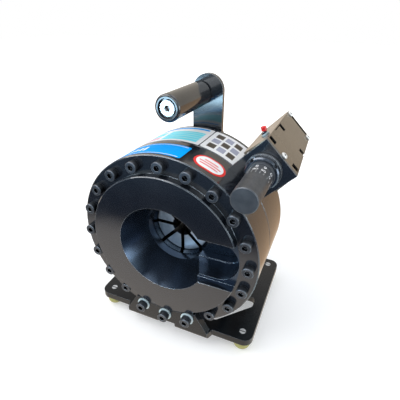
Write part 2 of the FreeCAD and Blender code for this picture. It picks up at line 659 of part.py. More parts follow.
def base_plate():
    outline = plate_outline()
    plate = prism_z(outline, PLATE_BOTTOM_Z, PLATE_TOP_Z)
    corners = [(x, y) for x, y in outline if abs(x) == PLATE_HALF_WIDTH]
    plate = round_upright_edges(plate, corners, PLATE_CORNER_RADIUS)
    window = prism_z(window_outline(), PLATE_BOTTOM_Z - 1, PLATE_TOP_Z + 1)
    window = round_upright_edges(window, window_outline(), WINDOW_CORNER_RADIUS)
    tab_points = [
        (-TAB_HALF_BOTTOM, PLATE_BOTTOM_Z), (TAB_HALF_BOTTOM, PLATE_BOTTOM_Z),
        (TAB_HALF_BOTTOM, PLATE_TOP_Z), (TAB_HALF_TOP, TAB_SHOULDER_Z),
        (-TAB_HALF_TOP, TAB_SHOULDER_Z), (-TAB_HALF_BOTTOM, PLATE_TOP_Z),
    ]
    tab = prism_y(tab_points, TAB_FRONT_Y, FLANGE_Y)
    plate = plate.fuse(tab)

    def bend(middle, edge):
        low_front = abs(middle.z - PLATE_BOTTOM_Z) < 0.1 and abs(middle.y - TAB_FRONT_Y) < 0.1
        return low_front and edge.Length > TAB_HALF_BOTTOM
    plate = plate.removeSplitter()
    plate = plate.makeFillet(TAB_BEND_RADIUS, edges_where(plate, bend))
    cuts = [
        window,
        cyl_y(BOSS_RADIUS + TAB_BOSS_GAP, TAB_FRONT_Y - 1, FLANGE_Y + 1),
        box((-TAB_NOTCH_HALF, TAB_NOTCH_HALF), (TAB_FRONT_Y - 1, FLANGE_Y),
            (PLATE_BOTTOM_Z - 1, PLATE_BOTTOM_Z + TAB_NOTCH_HEIGHT)),
    ]
    for step in TAB_SCREW_STEPS:
        x, z = bolt_place(step)
        cuts.append(cyl_y(COVER_HOLE_RADIUS, TAB_FRONT_Y - 1, FLANGE_Y + 1, x, z))
    for x, y in PLATE_HOLES:
        cuts.append(cyl_z(SCREW_RADIUS, PLATE_BOTTOM_Z - 1, PLATE_TOP_Z + 1, x, y))
    for x, y in saddle_screw_places():
        cuts.append(cyl_z(SADDLE_SCREW_RADIUS, PLATE_BOTTOM_Z - 1, PLATE_TOP_Z + 1, x, y))
        cuts.append(countersink(x, y))
    return plate.cut(cuts)


def saddle_screw_places():
    middle = SADDLE_REAR_Y - SADDLE_LENGTH / 2
    return [(-SADDLE_SCREW_X, middle), (SADDLE_SCREW_X, middle)]


def countersink(x, y):
    depth = SADDLE_SCREW_RADIUS
    return Part.makeCone(2 * SADDLE_SCREW_RADIUS, SADDLE_SCREW_RADIUS, depth, vec(x, y, PLATE_BOTTOM_Z))


def rear_saddle():
    """Block with a round seat, between the plate and the body's rear end."""
    y_span = (SADDLE_REAR_Y - SADDLE_LENGTH, SADDLE_REAR_Y)
    block = box((-SADDLE_HALF_WIDTH, SADDLE_HALF_WIDTH), y_span, (PLATE_TOP_Z, -BODY_RADIUS / 2))
    seat = cyl_y(BODY_RADIUS + SEAT_GAP, y_span[0] - 1, y_span[1] + 1)
    height = BODY_RADIUS - math.sqrt(BODY_RADIUS ** 2 - SADDLE_HALF_WIDTH ** 2)
    above = box((-BODY_RADIUS, BODY_RADIUS), (y_span[0] - 1, y_span[1] + 1), (-BODY_RADIUS + height, 0))
    holes = [cyl_z(SADDLE_SCREW_RADIUS, PLATE_TOP_Z - 1, -BODY_RADIUS / 2, x, y)
             for x, y in saddle_screw_places()]
    return block.cut([seat, above] + holes)


def saddle_screws():
    """Countersunk screws from under the plate."""
    radius = SADDLE_SCREW_RADIUS - THREAD_CLEARANCE
    inner_x = SADDLE_SCREW_X - SADDLE_SCREW_RADIUS
    top = -math.sqrt(BODY_RADIUS ** 2 - inner_x ** 2) - SADDLE_SCREW_TIP_GAP
    screws = []
    for x, y in saddle_screw_places():
        head = Part.makeCone(2 * radius, radius, SADDLE_SCREW_RADIUS, vec(x, y, PLATE_BOTTOM_Z))
        screws.append(head.fuse(cyl_z(radius, PLATE_BOTTOM_Z, top, x, y)).removeSplitter())
    return Part.makeCompound(screws)


def rubber_feet():
    """Domed feet, each with a blind hole for its stud."""
    top = PLATE_BOTTOM_Z
    bottom = top - FOOT_HEIGHT
    rim = top - FOOT_RIM_HEIGHT
    dome = Part.Arc(vec(FOOT_RADIUS, 0, rim),
                    vec(FOOT_RADIUS * 0.9, 0, rim - (rim - bottom) * 0.62),
                    vec(FOOT_FLAT_RADIUS, 0, bottom)).toShape()
    edges = [
        Part.makeLine(vec(0, 0, bottom), vec(0, 0, top)),
        Part.makeLine(vec(0, 0, top), vec(FOOT_RADIUS, 0, top)),
        Part.makeLine(vec(FOOT_RADIUS, 0, top), vec(FOOT_RADIUS, 0, rim)),
        dome,
        Part.makeLine(vec(FOOT_FLAT_RADIUS, 0, bottom), vec(0, 0, bottom)),
    ]
    foot = Part.Face(Part.Wire(edges)).revolve(ORIGIN, vec(0, 0, 1), 360)
    foot = foot.cut(cyl_z(SCREW_RADIUS, top - STUD_LENGTH_IN_FOOT, top + 1))
    return Part.makeCompound([moved(foot, x, y, 0) for x, y in PLATE_HOLES])


def foot_studs():
    """Zinc plated studs that end flush with the plate, with a screwdriver slot."""
    stud = cyl_z(SCREW_RADIUS - THREAD_CLEARANCE, PLATE_BOTTOM_Z - STUD_LENGTH_IN_FOOT, PLATE_TOP_Z)
    half = STUD_SLOT_WIDTH / 2
    slot = box((-SCREW_RADIUS, SCREW_RADIUS), (-half, half), (PLATE_TOP_Z - STUD_SLOT_DEPTH, PLATE_TOP_Z + 1))
    stud = stud.cut(slot)
    return Part.makeCompound([moved(stud, x, y, 0) for x, y in PLATE_HOLES])


def bracket_bolt_places():
    return [(BRACKET_CENTRE_X + side * BRACKET_BOLT_HALF, BRACKET_BOLT_Z) for side in (-1, 1)]


def handle_bracket():
    """Upright plate with a round top, bolted to the body's rear face."""
    half = BRACKET_WIDTH / 2
    plate = box((BRACKET_CENTRE_X - half, BRACKET_CENTRE_X + half), (0, BRACKET_THICKNESS),
                (BRACKET_BOTTOM_Z, BRACKET_TOP_CENTRE_Z))
    plate = plate.fuse(cyl_y(half, 0, BRACKET_THICKNESS, BRACKET_CENTRE_X, BRACKET_TOP_CENTRE_Z))
    cuts = [cyl_y(COVER_HOLE_RADIUS, -1, BRACKET_THICKNESS + 1, x, z) for x, z in bracket_bolt_places()]
    cuts.append(cyl_y(GRIP_THREAD_RADIUS + THREAD_CLEARANCE, -1, BRACKET_THICKNESS + 1, GRIP_X, GRIP_Z))
    return plate.removeSplitter().cut(cuts)


def handle_bolts():
    """Socket head screws whose heads stand behind the bracket."""
    screw = m8_screw(BRACKET_THICKNESS + WASHER_THICKNESS + BRACKET_BOLT_LENGTH - TAPPED_EXTRA)
    screw.rotate(ORIGIN, vec(0, 0, 1), 180)
    seat = BRACKET_THICKNESS + WASHER_THICKNESS
    return Part.makeCompound([moved(screw, x, seat, z) for x, z in bracket_bolt_places()])


def handle_washers():
    washer = cyl_y(WASHER_RADIUS, 0, WASHER_THICKNESS)
    washer = washer.cut(cyl_y(COVER_HOLE_RADIUS, -1, WASHER_THICKNESS + 1))
    return Part.makeCompound([moved(washer, x, BRACKET_THICKNESS, z) for x, z in bracket_bolt_places()])


def handle_grip():
    """Round grip with a full rim and a recess for the pin's head."""
    front = -GRIP_LENGTH - GRIP_END_GAP
    rear = -GRIP_END_GAP
    bore = GRIP_PIN_RADIUS + RUNNING_CLEARANCE
    grip = revolve_y([
        (bore, front), (GRIP_RADIUS, front), (GRIP_RADIUS, rear), (bore, rear),
    ])
    grip = grip.cut(cyl_y(GRIP_RECESS_RADIUS, front - 1, front + GRIP_RECESS_DEPTH))

    def rims(middle, edge):
        radius = edge.BoundBox.XLength / 2
        return abs(radius - GRIP_RADIUS) < 0.01 and len(edge.Vertexes) == 1
    grip = grip.makeFillet(GRIP_RIM_RADIUS, edges_where(grip, rims))
    return moved(grip, GRIP_X, 0, GRIP_Z)


def handle_pin():
    """Steel pin: head in the grip's recess, shoulder against the bracket, threaded end."""
    seat = -GRIP_LENGTH - GRIP_END_GAP + GRIP_RECESS_DEPTH - GRIP_PIN_HEAD_GAP
    pin = cyl_y(GRIP_PIN_HEAD_RADIUS, seat - GRIP_PIN_HEAD_HEIGHT, seat)
    pin = pin.fuse(cyl_y(GRIP_PIN_RADIUS, seat, 0))
    pin = pin.fuse(cyl_y(GRIP_THREAD_RADIUS, 0, BRACKET_THICKNESS + NUT_HEIGHT_M8 + GRIP_THREAD_END))
    socket = hexagon_y(GRIP_PIN_SOCKET, seat - GRIP_PIN_HEAD_HEIGHT - 1, seat + 2)
    return moved(pin.removeSplitter().cut(socket), GRIP_X, 0, GRIP_Z)


def handle_nut():
    start = BRACKET_THICKNESS
    nut = hexagon_y(NUT_FLATS_M8, start, start + NUT_HEIGHT_M8)
    nut = nut.cut(cyl_y(GRIP_THREAD_RADIUS + THREAD_CLEARANCE, start - 1, start + NUT_HEIGHT_M8 + 1))
    return moved(nut, GRIP_X, 0, GRIP_Z)


def leg_screw_places():
    """Four screws through the bracket's leg, as (across, along)."""
    front = JOINT_Y + LEG_SCREW_INSET
    rear = LEG_REAR_Y - LEG_SCREW_INSET
    return [(side * LEG_SCREW_HALF, y) for side in (-1, 1) for y in (front, rear)]


def leg_screw_hole(x, y):
    return cyl_z(LEG_SCREW_RADIUS, LEG_TOP_U - LEG_SCREW_LENGTH - TAPPED_EXTRA, LEG_TOP_U, x, y)


def follower_slot(u_start, u_end, side_gap=FOLLOWER_SIDE_GAP):
    """Slot as long as the piston's stroke, with round ends."""
    radius = FOLLOWER_RADIUS + side_gap
    rear = FOLLOWER_REST_Y + side_gap
    front = FOLLOWER_REST_Y - PISTON_STROKE - side_gap
    slot = box((-radius, radius), (front, rear), (u_start, u_end))
    return slot.fuse([cyl_z(radius, u_start, u_end, 0, front), cyl_z(radius, u_start, u_end, 0, rear)])


def adjuster_bracket():
    """Square front plate with a leg that lies on the body."""
    plate = box((-ADJUSTER_PLATE_HALF, ADJUSTER_PLATE_HALF),
                (ADJUSTER_PLATE_FRONT_Y, ADJUSTER_PLATE_REAR_Y), (BODY_RADIUS / 2, HOUSING_TOP_U))
    leg = box((-LEG_HALF_WIDTH, LEG_HALF_WIDTH), (ADJUSTER_PLATE_FRONT_Y, LEG_REAR_Y),
              (BODY_RADIUS / 2, LEG_TOP_U))
    bracket = plate.fuse(leg).removeSplitter()
    cuts = [
        cyl_y(BODY_RADIUS + SEAT_GAP, ADJUSTER_PLATE_FRONT_Y - 1, LEG_REAR_Y + 1),
        cyl_y(BUSH_RADIUS + THREAD_CLEARANCE, ADJUSTER_PLATE_FRONT_Y - 1, ADJUSTER_PLATE_REAR_Y + 1,
              0, ADJUSTER_AXIS_U),
        follower_slot(BODY_RADIUS - 5, LEG_TOP_U + 1),
    ]
    cuts += [leg_screw_hole(x, y) for x, y in leg_screw_places()]
    cuts = [cut.copy() for cut in cuts]
    return leaned(bracket.cut(cuts))


def leg_screws():
    screw = cap_screw(LEG_SCREW_RADIUS - THREAD_CLEARANCE, LEG_SCREW_HEAD_RADIUS, LEG_SCREW_HEAD_HEIGHT,
                      LEG_SCREW_LENGTH, LEG_SCREW_SOCKET_FLATS, LEG_SCREW_SOCKET_DEPTH)
    screw.rotate(ORIGIN, vec(1, 0, 0), -90)
    return leaned(Part.makeCompound([moved(screw, x, y, LEG_TOP_U) for x, y in leg_screw_places()]))


def on_adjuster_axis(shape):
    return leaned(moved(shape, 0, 0, ADJUSTER_AXIS_U))


def adjuster_bush():
    flange = cyl_y(BUSH_FLANGE_RADIUS, ADJUSTER_PLATE_FRONT_Y - BUSH_FLANGE_THICKNESS, ADJUSTER_PLATE_FRONT_Y)
    tube = cyl_y(BUSH_RADIUS, BUSH_FRONT_Y, BUSH_REAR_Y)
    bore = cyl_y(SPINDLE_RADIUS + RUNNING_CLEARANCE, BUSH_FRONT_Y - 1, BUSH_REAR_Y + 1)
    return on_adjuster_axis(flange.fuse(tube).removeSplitter().cut(bore))


def bright_washer():
    rear = ADJUSTER_PLATE_FRONT_Y - BUSH_FLANGE_THICKNESS
    front = rear - BRIGHT_WASHER_THICKNESS
    hole = cyl_y(BUSH_RADIUS + THREAD_CLEARANCE, front - 1, rear + 1)
    return on_adjuster_axis(cyl_y(BRIGHT_WASHER_RADIUS, front, rear).cut(hole))


def ring_nut():
    """Round nut with four spanner slots and a chamfered front rim."""
    front = BUSH_FRONT_Y
    rear = front + RING_NUT_HEIGHT
    hole = BUSH_RADIUS + THREAD_CLEARANCE
    nut = revolve_y([
        (hole, front), (RING_NUT_RADIUS - RING_NUT_CHAMFER, front), (RING_NUT_RADIUS, front + RING_NUT_CHAMFER),
        (RING_NUT_RADIUS, rear), (hole, rear),
    ])
    half = RING_NUT_SLOT_WIDTH / 2
    slot = box((-half, half), (front - 1, rear + 1),
               (RING_NUT_RADIUS - RING_NUT_SLOT_DEPTH, RING_NUT_RADIUS + 1))
    return on_adjuster_axis(nut.cut([turned(slot, 90 * step + RING_NUT_TURN) for step in range(4)]))


def adjuster_knob():
    """Plain round knob with a short collar at its rear end."""
    front = KNOB_REAR_Y - KNOB_LENGTH
    collar = KNOB_REAR_Y - KNOB_COLLAR_LENGTH
    knob = revolve_y([
        (0, front), (KNOB_RADIUS - KNOB_CHAMFER, front), (KNOB_RADIUS, front + KNOB_CHAMFER),
        (KNOB_RADIUS, collar), (KNOB_COLLAR_RADIUS, collar), (KNOB_COLLAR_RADIUS, KNOB_REAR_Y),
        (SPINDLE_RADIUS, KNOB_REAR_Y), (SPINDLE_RADIUS, KNOB_REAR_Y - SPINDLE_IN_KNOB),
        (0, KNOB_REAR_Y - SPINDLE_IN_KNOB),
    ])
    return on_adjuster_axis(knob)


def adjuster_spindle():
    front = KNOB_REAR_Y - SPINDLE_IN_KNOB
    return on_adjuster_axis(cyl_y(SPINDLE_RADIUS, front, ADJUSTER_PLATE_REAR_Y + SPINDLE_REAR_REACH))


def switch_carriage():
    """Block that travels on the spindle and slides on the bracket's leg."""
    y_span = (CARRIAGE_FRONT_Y, CARRIAGE_FRONT_Y + CARRIAGE_LENGTH)
    block = box((-CARRIAGE_HALF_WIDTH, CARRIAGE_HALF_WIDTH), y_span, (CARRIAGE_FOOT_TOP_U, CARRIAGE_TOP_U))
    foot = box((-CARRIAGE_FOOT_HALF, CARRIAGE_FOOT_HALF), y_span,
               (LEG_TOP_U + CARRIAGE_SLIDE_GAP, CARRIAGE_FOOT_TOP_U))
    bore = cyl_y(SPINDLE_RADIUS + RUNNING_CLEARANCE, y_span[0] - 1, y_span[1] + 1, 0, ADJUSTER_AXIS_U)
    return leaned(block.fuse(foot).removeSplitter().cut(bore))


def microswitch():
    front = CARRIAGE_FRONT_Y - SWITCH_OVERHANG
    body = box((-SWITCH_HALF_WIDTH, SWITCH_HALF_WIDTH), (front, front + SWITCH_LENGTH),
               (CARRIAGE_TOP_U, SWITCH_TOP_U))
    hole_end = front + SWITCH_LENGTH - PLUNGER_INSIDE - PLUNGER_TRAVEL - CARRIAGE_SLIDE_GAP
    hole = cyl_y(PLUNGER_RADIUS + RUNNING_CLEARANCE, hole_end, front + SWITCH_LENGTH + 1, 0, PLUNGER_U)
    return leaned(body.cut(hole))


def switch_plunger():
    face = CARRIAGE_FRONT_Y - SWITCH_OVERHANG + SWITCH_LENGTH
    return leaned(cyl_y(PLUNGER_RADIUS, face - PLUNGER_INSIDE, face + PLUNGER_REACH, 0, PLUNGER_U))


def follower_pin():
    radius = FOLLOWER_RADIUS - THREAD_CLEARANCE
    return leaned(cyl_z(radius, FOLLOWER_ROOT_U, FOLLOWER_TOP_U, 0, FOLLOWER_REST_Y))


def housing_side(side, thickness, inset=0.0):
    """Slab with the outline of a side wall, splayed a little; the right one also tapers to the rear."""
    depth = HOUSING_WALL_DEPTH
    outline = [
        vec(0, 0, 0), vec(0, HOUSING_LENGTH, 0), vec(0, HOUSING_LENGTH, -HOUSING_WALL_REAR_DEPTH),
        vec(0, HOUSING_WALL_STRAIGHT, -depth), vec(0, 0, -depth),
    ]
    slab = Part.Face(Part.makePolygon(outline + outline[:1])).extrude(vec(-side * thickness, 0, 0))
    slab.translate(vec(-side * inset, 0, 0))
    slab.rotate(ORIGIN, AXIS_Y, -side * HOUSING_SPLAY)
    if side > 0:
        slab.rotate(ORIGIN, vec(0, 0, 1), HOUSING_TAPER)
    return moved(slab, side * ADJUSTER_PLATE_HALF, HOUSING_FRONT_Y, HOUSING_TOP_U)


def housing_inside():
    """Space between the side walls, with a small gap to each."""
    reach = 2 * ADJUSTER_PLATE_HALF
    inset = HOUSING_SHEET + HOUSING_FLOOR_GAP
    return housing_side(-1, reach, inset).common(housing_side(1, reach, inset))


def panel_half_rear():
    return ADJUSTER_PLATE_HALF - HOUSING_LENGTH * math.tan(math.radians(HOUSING_TAPER))


def housing_screw_places():
    """One screw at the front and one near each rear corner, as (along, across)."""
    inset, v = HOUSING_FRONT_SCREW
    places = [(HOUSING_FRONT_Y + inset, v)]
    for side, inset, margin in zip((1, -1), HOUSING_REAR_SCREW_INSETS, HOUSING_REAR_SCREW_MARGINS):
        places.append((HOUSING_REAR_Y - inset, side * (ADJUSTER_PLATE_HALF - margin)))
    return places


def panel_slots():
    """Four slots, the seam between the two on the toggle's side and the gap before the rear lip."""
    through = (HOUSING_INNER_U - 1, HOUSING_TOP_U + 1)
    half_length = HOUSING_SLOT_LENGTH / 2
    half_width = HOUSING_SLOT_WIDTH / 2
    slot_v = ADJUSTER_PLATE_HALF - HOUSING_SLOT_MARGIN
    rows = [HOUSING_FRONT_Y + inset for inset in HOUSING_SLOT_INSETS]
    cuts = []
    for y in rows:
        for middle in (-slot_v, slot_v):
            cuts.append(box((middle - half_length, middle + half_length),
                            (y - half_width, y + half_width), through))
    seam_v = -slot_v - half_length
    cuts.append(box((seam_v, seam_v + HOUSING_SEAM_WIDTH), ((rows[0] + rows[1]) / 2, rows[1]), through))
    right, left = [v for y, v in housing_screw_places() if y > rows[1]]
    gap_rear = HOUSING_REAR_Y - HOUSING_SHEET
    cuts.append(box((left + HOUSING_SCREW_HEAD_RADIUS, right - HOUSING_SCREW_HEAD_RADIUS),
                    (gap_rear - HOUSING_REAR_GAP, gap_rear), through))
    return cuts


def housing_cover():
    """Folded sheet cover: outer panel, two side walls and a short rear lip."""
    outline = [
        (-ADJUSTER_PLATE_HALF, HOUSING_FRONT_Y), (ADJUSTER_PLATE_HALF, HOUSING_FRONT_Y),
        (panel_half_rear(), HOUSING_REAR_Y), (-ADJUSTER_PLATE_HALF, HOUSING_REAR_Y),
    ]
    panel = prism_z(outline, HOUSING_INNER_U, HOUSING_TOP_U)
    lip = box((-ADJUSTER_PLATE_HALF, panel_half_rear()), (HOUSING_REAR_Y - HOUSING_SHEET, HOUSING_REAR_Y),
              (HOUSING_TOP_U - HOUSING_WALL_REAR_DEPTH, HOUSING_TOP_U))
    walls = [housing_side(side, HOUSING_SHEET) for side in (-1, 1)]
    cover = panel.fuse(walls + [lip]).removeSplitter()
    cuts = panel_slots()
    for y, v in housing_screw_places():
        cuts.append(cyl_z(HOUSING_SCREW_RADIUS, HOUSING_INNER_U - 1, HOUSING_TOP_U + 1, v, y))
    cuts.append(toggle_placed(cyl_z(TOGGLE_BUSHING_RADIUS + THREAD_CLEARANCE, -10, 10)))
    return leaned(cover.cut(cuts))


def housing_floor():
    """Sheet that closes the housing towards the body, with a window for the carriage and follower."""
    inside = housing_inside()
    reach = 2 * BODY_RADIUS
    rear_y = HOUSING_REAR_Y - HOUSING_SHEET - HOUSING_FLOOR_GAP
    skin = inside.cut(moved(inside, 0, 0, HOUSING_SHEET))
    skin = skin.common(box((-reach, reach), (-reach, rear_y), (0, HOUSING_INNER_U - HOUSING_FLOOR_GAP)))
    foot = CARRIAGE_FOOT_HALF + HOUSING_FLOOR_GAP
    window_rear = FOLLOWER_REST_Y + FOLLOWER_RADIUS + HOUSING_FLOOR_WINDOW_GAP
    window = box((-foot, foot), (HOUSING_FRONT_Y - 1, window_rear), (BODY_RADIUS, ADJUSTER_AXIS_U))
    bush_room = cyl_y(BUSH_RADIUS + HOUSING_FLOOR_GAP, HOUSING_FRONT_Y - 1, BUSH_REAR_Y + HOUSING_FLOOR_GAP,
                      0, ADJUSTER_AXIS_U)
    return leaned(skin.cut([window, bush_room]))


def housing_screws():
    """Pan head screws with a cross recess."""
    top = HOUSING_SCREW_HEAD_HEIGHT
    head = cyl_z(HOUSING_SCREW_HEAD_RADIUS, 0, top)
    rim = edges_where(head, lambda middle, edge: middle.z > top - 0.1 and len(edge.Vertexes) == 1)
    head = head.makeChamfer(HOUSING_SCREW_HEAD_CHAMFER, rim)
    shank = cyl_z(HOUSING_SCREW_RADIUS - THREAD_CLEARANCE, -HOUSING_SCREW_LENGTH, 0)
    long_half = HOUSING_SCREW_CROSS_LENGTH / 2
    thin_half = HOUSING_SCREW_CROSS_WIDTH / 2
    recess = (top / 2, top + 1)
    cross = box((-long_half, long_half), (-thin_half, thin_half), recess)
    cross = cross.fuse(box((-thin_half, thin_half), (-long_half, long_half), recess))
    screw = head.fuse(shank).removeSplitter().cut(cross)
    return leaned(Part.makeCompound([moved(screw, v, y, HOUSING_TOP_U) for y, v in housing_screw_places()]))


def toggle_placed(shape):
    """Place a piece modelled about +Z on the outside of the housing's upper wall."""
    copy = shape.copy()
    copy.rotate(ORIGIN, AXIS_Y, -90 + HOUSING_SPLAY)
    lean = math.radians(HOUSING_SPLAY)
    across = -ADJUSTER_PLATE_HALF - TOGGLE_DEPTH * math.sin(lean)
    out = HOUSING_TOP_U - TOGGLE_DEPTH * math.cos(lean)
    return moved(copy, across, HOUSING_FRONT_Y + TOGGLE_INSET_Y, out)


def toggle_base():
    """Switch body inside the wall, with its threaded bushing outside."""
    inside = -HOUSING_SHEET
    body = box((-TOGGLE_BODY_HALF, TOGGLE_BODY_HALF), (-TOGGLE_BODY_HALF_LENGTH, TOGGLE_BODY_HALF_LENGTH),
               (inside - TOGGLE_BODY_DEPTH, inside))
    bushing = cyl_z(TOGGLE_BUSHING_RADIUS, inside, TOGGLE_BUSHING_HEIGHT)
    socket_radius = TOGGLE_BALL_RADIUS + TOGGLE_SOCKET_GAP
    socket = cyl_z(socket_radius, TOGGLE_BALL_Z - socket_radius, TOGGLE_BUSHING_HEIGHT + 1)
    mouth = Part.makeCone(TOGGLE_BALL_RADIUS, TOGGLE_BUSHING_RADIUS - TOGGLE_SOCKET_GAP, TOGGLE_BALL_DEPTH,
                          vec(0, 0, TOGGLE_BALL_Z))
    return leaned(toggle_placed(body.fuse(bushing).removeSplitter().cut([socket, mouth])))


def toggle_nut():
    radius = TOGGLE_NUT_FLATS / math.sqrt(3)
    angles = [math.radians(60 * step) for step in range(6)]
    nut = prism_z([(radius * math.cos(a), radius * math.sin(a)) for a in angles], 0, TOGGLE_NUT_HEIGHT)
    hole = cyl_z(TOGGLE_BUSHING_RADIUS + THREAD_CLEARANCE, -1, TOGGLE_NUT_HEIGHT + 1)
    return leaned(toggle_placed(nut.cut(hole)))


def toggle_leaned(shape):
    """Tip a lever piece about the ball's centre, as it stands in one of its two positions."""
    copy = shape.copy()
    copy.rotate(vec(0, 0, TOGGLE_BALL_Z), AXIS_Y, TOGGLE_LEAN)
    return leaned(toggle_placed(copy))


def toggle_lever():
    ball = Part.makeSphere(TOGGLE_BALL_RADIUS, vec(0, 0, TOGGLE_BALL_Z))
    stem = cyl_z(TOGGLE_LEVER_RADIUS, TOGGLE_BALL_Z, TOGGLE_BALL_Z + TOGGLE_LEVER_LENGTH)
    return toggle_leaned(ball.fuse(stem).removeSplitter())


def toggle_cap():
    lever_end = TOGGLE_BALL_Z + TOGGLE_LEVER_LENGTH
    start = lever_end + TOGGLE_CAP_CROWN - TOGGLE_CAP_LENGTH
    cap = cyl_z(TOGGLE_CAP_RADIUS, start, start + TOGGLE_CAP_LENGTH)
    rim = edges_where(cap, lambda middle, edge: len(edge.Vertexes) == 1 and middle.z > lever_end)
    cap = cap.makeChamfer(TOGGLE_CAP_CHAMFER, rim)
    return toggle_leaned(cap.cut(cyl_z(TOGGLE_LEVER_RADIUS, start - 1, lever_end)))


def bleed_screw():
    x, z = port_place(BLEED_ANGLE)
    screw = cap_screw(BLEED_RADIUS - THREAD_CLEARANCE, BLEED_HEAD_RADIUS, BLEED_HEAD_HEIGHT,
                      REAR_WALL - BLEED_END_GAP, BLEED_SOCKET_FLATS, BLEED_SOCKET_DEPTH)
    screw.rotate(ORIGIN, vec(0, 0, 1), 180)
    return moved(screw, x, 0, z)


def write(name, shape):
    """Write one piece, after making sure that each of its solids is sound."""
    for solid in shape.Solids:
        if not solid.isValid() or solid.Volume <= 0:
            raise ValueError("unsound solid in " + name)
    single = shape.Solids[0] if len(shape.Solids) == 1 else Part.makeCompound(shape.Solids)
    single.exportStep(os.path.join("parts", name + ".step"))


PIECES = {
    "front_cover": front_cover,
    "cylinder_body": cylinder_body,
    "cone_piston": cone_piston,
    "piston_seals": piston_seals,
    "cover_screws": cover_screws,
    "tab_screws": tab_screws,
    "tab_washers": tab_washers,
    "base_plate": base_plate,
    "rear_saddle": rear_saddle,
    "saddle_screws": saddle_screws,
    "rubber_feet": rubber_feet,
    "foot_studs": foot_studs,
    "handle_bracket": handle_bracket,
    "handle_bolts": handle_bolts,
    "handle_washers": handle_washers,
    "handle_grip": handle_grip,
    "handle_pin": handle_pin,
    "handle_nut": handle_nut,
    "adjuster_bracket": adjuster_bracket,
    "leg_screws": leg_screws,
    "adjuster_bush": adjuster_bush,
    "bright_washer": bright_washer,
    "ring_nut": ring_nut,
    "adjuster_knob": adjuster_knob,
    "adjuster_spindle": adjuster_spindle,
    "switch_carriage": switch_carriage,
    "microswitch": microswitch,
    "switch_plunger": switch_plunger,
    "follower_pin": follower_pin,
    "housing_cover": housing_cover,
    "housing_floor": housing_floor,
    "housing_screws": housing_screws,
    "toggle_base": toggle_base,
    "toggle_nut": toggle_nut,
    "toggle_lever": toggle_lever,
    "toggle_cap": toggle_cap,
    "bleed_screw": bleed_screw,
}

os.makedirs("parts", exist_ok=True)
for name, make in PIECES.items():
    write(name, make())
for number in range(1, DIE_COUNT + 1):
    write("die_%d" % number, turned(die_segment(), station_angle(number)))
    write("die_shoe_%d" % number, turned(shoe_segment(), station_angle(number)))
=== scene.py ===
import json
import math

import bpy
from mathutils import Matrix, Vector


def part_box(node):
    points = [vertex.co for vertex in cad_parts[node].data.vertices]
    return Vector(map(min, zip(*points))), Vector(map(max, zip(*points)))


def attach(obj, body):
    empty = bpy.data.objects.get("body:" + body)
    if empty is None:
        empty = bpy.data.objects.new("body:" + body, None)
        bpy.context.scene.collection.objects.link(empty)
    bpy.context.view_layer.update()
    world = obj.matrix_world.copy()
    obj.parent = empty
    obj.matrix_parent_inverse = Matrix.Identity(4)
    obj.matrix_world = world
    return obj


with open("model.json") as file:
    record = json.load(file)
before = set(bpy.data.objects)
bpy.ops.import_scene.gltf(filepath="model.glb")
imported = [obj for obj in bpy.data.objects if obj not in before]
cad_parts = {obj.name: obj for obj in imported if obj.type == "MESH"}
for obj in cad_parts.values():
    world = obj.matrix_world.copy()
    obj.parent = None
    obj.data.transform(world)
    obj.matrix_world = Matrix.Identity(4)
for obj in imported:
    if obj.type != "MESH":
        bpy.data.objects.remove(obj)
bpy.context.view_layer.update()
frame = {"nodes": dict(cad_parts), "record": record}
NODES = frame["nodes"]

# Sizes that the dressing takes from the solids; all sizes are in metres
DRUM_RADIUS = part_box("cylinder_body")[1].x
FLOOR_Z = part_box("rubber_feet")[0].z
BOSS_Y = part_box("front_cover")[0].y

# The throat and its slot lie behind the boss's front face and inside the chamfer round it
THROAT_REACH = 0.0893
FACE_MARGIN = 0.0003

# Painted shade darkens the dies' faces up to here off the axis
DIE_MOUTH_SHADE_RADIUS = 0.0135
DIE_MOUTH_SHADE_BLUR = 0.0006

# Size adjuster and switch housing, whose frame leans to the right: across, along and out
LEAN = math.radians(45)
KNOB_AXIS_OUT = 0.136
KNOB_RADIUS = 0.0127
# The housing's inside, bounded by these, gets painted shade
HOUSING_FRONT_Y = -0.070
HOUSING_INNER_OUT = 0.1591
HOUSING_INNER_HALF = 0.0216
HOUSING_TAPER = math.tan(math.radians(2.2))

# Printed films on the drum
FILM_LIFT = 0.00018
SECOND_FILM_LIFT = 0.00038
FILM_CORNER = 0.0025
FILM_CORNER_STEPS = 6
FILM_COLUMNS = 48
FILM_ROWS = 14
REAR_FILM_DEPTHS = (-0.0635, -0.009)

# The knob's scale: where each ring of texts starts along Y, its height and its texts
INK_LIFT = 0.00012
TEXT_SIZE_PER_HEIGHT = 1.4
SCALE_RINGS = [
    (-0.0955, 0.0050, [str(number) for number in range(10)]),
    (-0.1020, 0.0040, [str(number) for number in range(0, 100, 10)]),
    (-0.1065, 0.0026, ["|"] * 20),
]

# Colours and measures that looks share
WHITE = (1.0, 1.0, 1.0)
# Bare steel on worn edges, light enough to be a painted highlight too
WORN_AND_HIGHLIT_STEEL = (0.56, 0.63, 0.70)
INSIDE_PAINTED_SHADE = (0.006, 0.006, 0.006)
# Painted shade in hollows: its black, how steeply it sets in, and its samples
PAINTED_SHADE_BLACK = (0.003, 0.003, 0.004)
PAINTED_SHADE_CONTRAST = 2.4
PAINTED_SHADE_SAMPLES = 8
BEVEL_SAMPLES = 4
NOISE_MIDDLE = (0.3, 0.7)

# Edge wear, which also paints a highlight on the edge, starts and is full at these cosines between the
# rounded normal and the flat one
EDGE_WEAR_AND_HIGHLIGHT_COSINES = (0.985, 0.90)
EDGE_WEAR_AND_HIGHLIGHT_PATCHINESS = (0.45, 1.0)

# The floor's own glow to the camera is dimmer near the machine, up to these distances
GLOW_DISTANCES = (0.3, 1.0)
GLOW_NEAR = (0.30, 0.30, 0.30)

